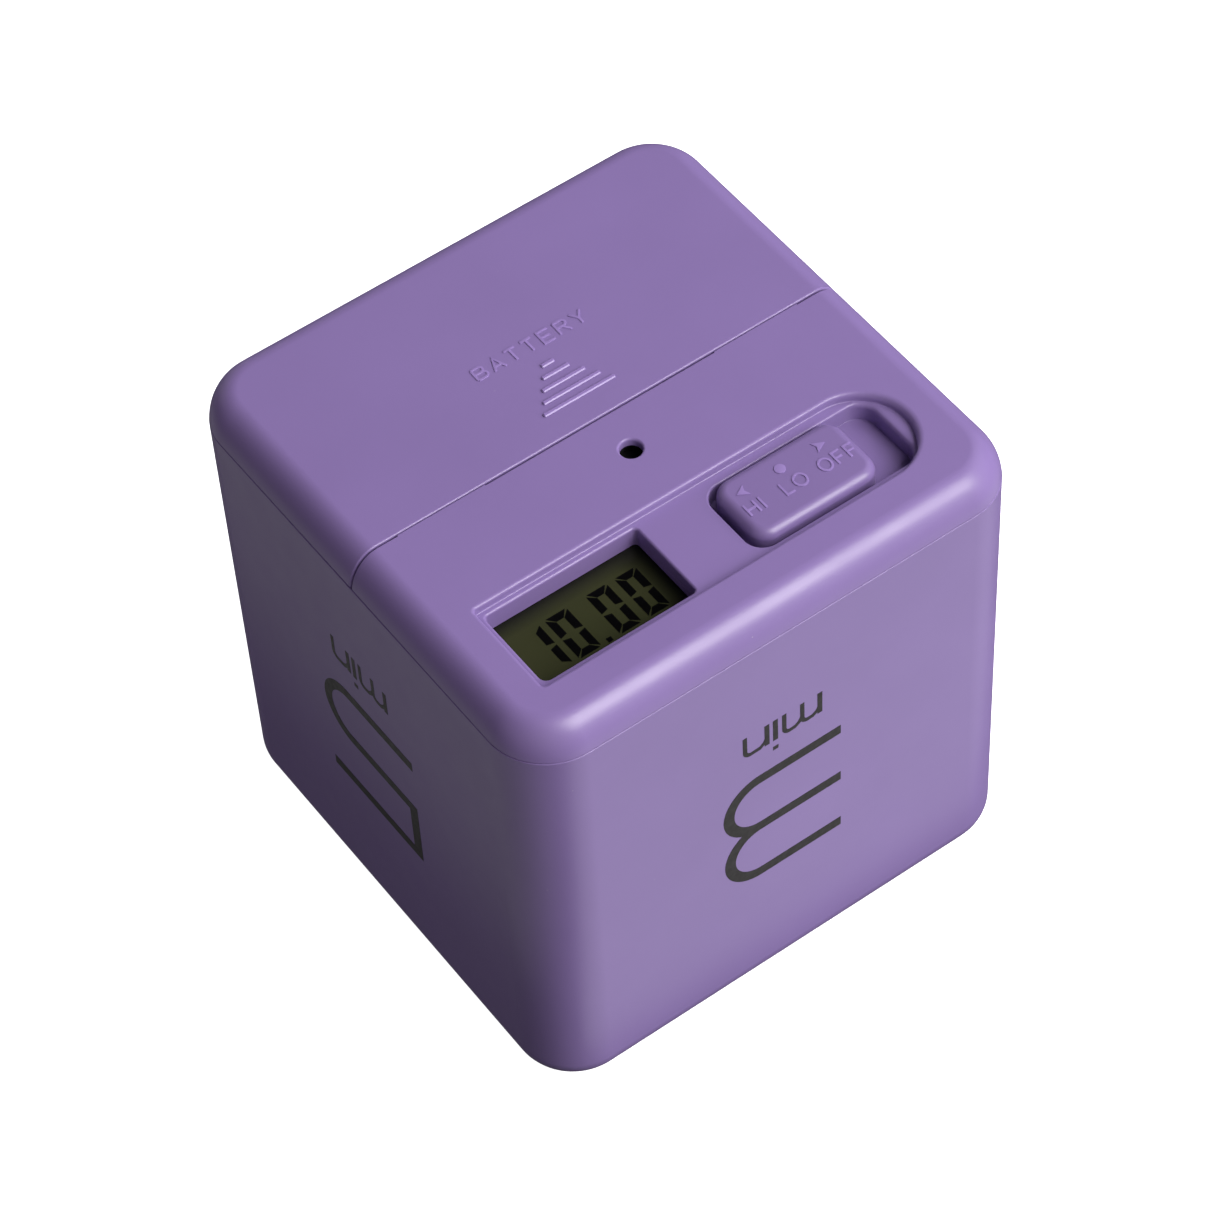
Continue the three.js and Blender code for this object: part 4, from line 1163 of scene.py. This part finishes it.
ROUND = bend((0.5, 0.5), (0.5, 0.5), 0, 345, 23)
GLYPHS = {
    "A": [[(0, 0), (0.5, 1), (1, 0)], [(0.18, 0.34), (0.82, 0.34)]],
    "B": [
        [(0, 0.04), (0, 0.96)],
        [(0, 0.04)] + bend((0.6, 0.28), (0.4, 0.24), -90, 90, 10) + [(0, 0.52)],
        [(0, 0.52)] + bend((0.55, 0.74), (0.36, 0.22), -90, 90, 10) + [(0, 0.96)],
    ],
    "E": [[(1, 0), (0, 0), (0, 1), (1, 1)], [(0, 0.5), (0.85, 0.5)]],
    "F": [[(0, 0), (0, 1), (1, 1)], [(0, 0.5), (0.85, 0.5)]],
    "H": [[(0, 0), (0, 1)], [(1, 0), (1, 1)], [(0, 0.5), (1, 0.5)]],
    "I": [[(0, 0), (0, 1)]],
    "L": [[(0, 1), (0, 0), (1, 0)]],
    "O": [ROUND],
    "R": [
        [(0, 0), (0, 1)],
        [(0, 1)] + bend((0.58, 0.76), (0.38, 0.24), 90, -90, 10) + [(0, 0.52)],
        [(0.5, 0.52), (1, 0)],
    ],
    "T": [[(0.5, 0), (0.5, 1)], [(0, 1), (1, 1)]],
    "Y": [[(0.5, 0), (0.5, 0.45), (0, 1)], [(0.5, 0.45), (1, 1)]],
}


def mark_knob():
    low, tall = -20.35, 1.65
    word = [
        ("H", 4.4, low, 1.15, tall), ("I", 6.28, low, 0, tall),
        ("L", 8.95, low, 0.95, tall), ("O", 10.45, low, 1.45, tall),
        ("O", 13.72, low, 1.4, tall), ("F", 15.7, low, 1.0, tall), ("F", 17.25, low, 1.0, tall),
    ]
    outlines = place_letters(word, 0.25)
    outlines.append([(4.75, -17.2), (6.05, -17.95), (5.75, -17.2), (6.05, -16.45)])
    outlines.append([(16.2, -17.1), (14.85, -16.4), (15.15, -17.1), (14.85, -17.8)])
    outlines.append(bend((10.4, -17.1), (0.62, 0.62), 0, 345, 23))
    raised("knob_marks", KNOB_TOP, outlines, "slider", height=0.075, edge=0.07)


def mark_door():
    bars = [(9.35, 0.83), (7.9, 1.75), (6.48, 2.75), (5.03, 3.68), (3.64, 4.59)]
    ridges = [stroke([(-half, v), (half, v)], 0.56) for v, half in bars]
    raised("door_arrow", DOOR_TOP, ridges, "door", height=0.20, edge=0.20, segments=1)
    letters = "BATTERY"
    wide, step, low, tall = 1.35, 2.12, 11.75, 1.75
    start = -(step * (len(letters) - 1) + wide) / 2
    word = [(letter, start + i * step, low, wide, tall) for i, letter in enumerate(letters)]
    raised("door_word", DOOR_TOP, place_letters(word, 0.28), "door", height=0.08, edge=0.075)


def mark_deck():
    """A plus or a minus sign beside each end of the two cells."""
    deck_top = Sheet((0, 0, DECK_Z), (1, 0, 0), (0, 1, 0))
    reach = 0.85
    width = 0.42
    outlines = []
    for node, side in (("cell_a", 1), ("cell_b", -1)):
        y = middle_mm(node)[1]
        for end in (-1, 1):
            x = end * 24.8
            outlines.append(stroke([(x - reach, y), (x + reach, y)], width))
            if end == side:
                outlines.append(stroke([(x, y - reach), (x, y + reach)], width))
    raised("deck_marks", deck_top, outlines, "root", height=0.15, edge=0.12)


mark_knob()
mark_door()
mark_deck()

# ---------- surroundings ----------


def area_light(name, azimuth, elevation, size, power, colour=WHITE, mirrored=True):
    """A soft box that faces the middle of the timer; azimuth 0 is in front of it."""
    distance = 0.9
    a, e = math.radians(azimuth), math.radians(elevation)
    back = Vector((math.sin(a) * math.cos(e), -math.cos(a) * math.cos(e), math.sin(e)))
    light = bpy.data.lights.new(name, "AREA")
    light.shape = "RECTANGLE"
    light.size, light.size_y = size
    light.energy = power
    light.color = colour
    made = bpy.data.objects.new(name, light)
    spot = Matrix.Translation(back * distance + Vector((0, 0, HALF * MM)))
    made.matrix_world = spot @ back.to_track_quat("Z", "Y").to_matrix().to_4x4()
    made.visible_glossy = mirrored
    bpy.context.scene.collection.objects.link(made)


def make_lights():
    """Each light's azimuth, elevation, size in metres, power in watts and colour."""
    area_light("key", 23, 45, (0.44, 0.60), 8.2, (1.0, 0.985, 0.955))
    area_light("low_right", 40, 13, (0.6, 0.5), 3.8, mirrored=False)
    area_light("right", 90, 40, (0.6, 0.6), 5.9, mirrored=False)
    area_light("front_fill", -40, 20, (0.6, 0.6), 0.9, mirrored=False)
    area_light("left_fill", -90, 4, (0.6, 0.6), 0.75, (0.95, 0.80, 1.0), mirrored=False)
    area_light("back_fill", 180, 4, (0.6, 0.3), 3.0, mirrored=False)


def make_world():
    """White behind the object, and almost no light from it."""
    world = bpy.data.worlds.new("studio")
    bpy.context.scene.world = world
    world.use_nodes = True
    tree = world.node_tree
    background = tree.nodes["Background"]
    seen = tree.nodes.new("ShaderNodeLightPath")
    level = tree.nodes.new("ShaderNodeMapRange")
    level.inputs["To Min"].default_value = 0.06
    level.inputs["To Max"].default_value = 1.0
    tree.links.new(seen.outputs["Is Camera Ray"], level.inputs["Value"])
    tree.links.new(level.outputs["Result"], background.inputs["Strength"])
    background.inputs["Color"].default_value = (1, 1, 1, 1)


def glowing(name, level, tone):
    """A matt sheet of a grey tone that gives off white light."""
    s = Shader(name)
    s.set(Roughness=0.9, Emission_Color=(*WHITE, 1), Emission_Strength=level)
    s.feed("Base Color", s.drift(s.noise(3, 2), (tone * 0.98,) * 3, (tone,) * 3))
    return s.material


def make_floor():
    bm = bmesh.new()
    bmesh.ops.create_circle(bm, cap_ends=True, segments=64, radius=6.0)
    floor = new_object("floor", bm)
    floor.data.materials.append(glowing("floor_paper", 1.0, 0.88))
    floor.visible_diffuse = False
    floor.visible_glossy = False
    reflector("reflector_front", (-30, 160, -160, -36), 0.60)
    reflector("reflector_left", (-160, -46, -60, 160), 0.30).visible_diffuse = False


def reflector(name, bounds, level):
    """A glowing card on the floor that only lights the timer's sides: no camera sees it."""
    outline = rounded_rect(bounds, (2,) * 4)
    card = loft(name, [(outline, 0.3), (outline, 0.6)])
    card.data.materials.append(glowing(name + "_white", level, 0.02))
    card.visible_camera = False
    card.visible_shadow = False
    return card


def make_surroundings():
    make_lights()
    make_world()
    make_floor()
    scene = bpy.context.scene
    scene.view_settings.view_transform = "Standard"
    scene.view_settings.look = "None"


make_surroundings()
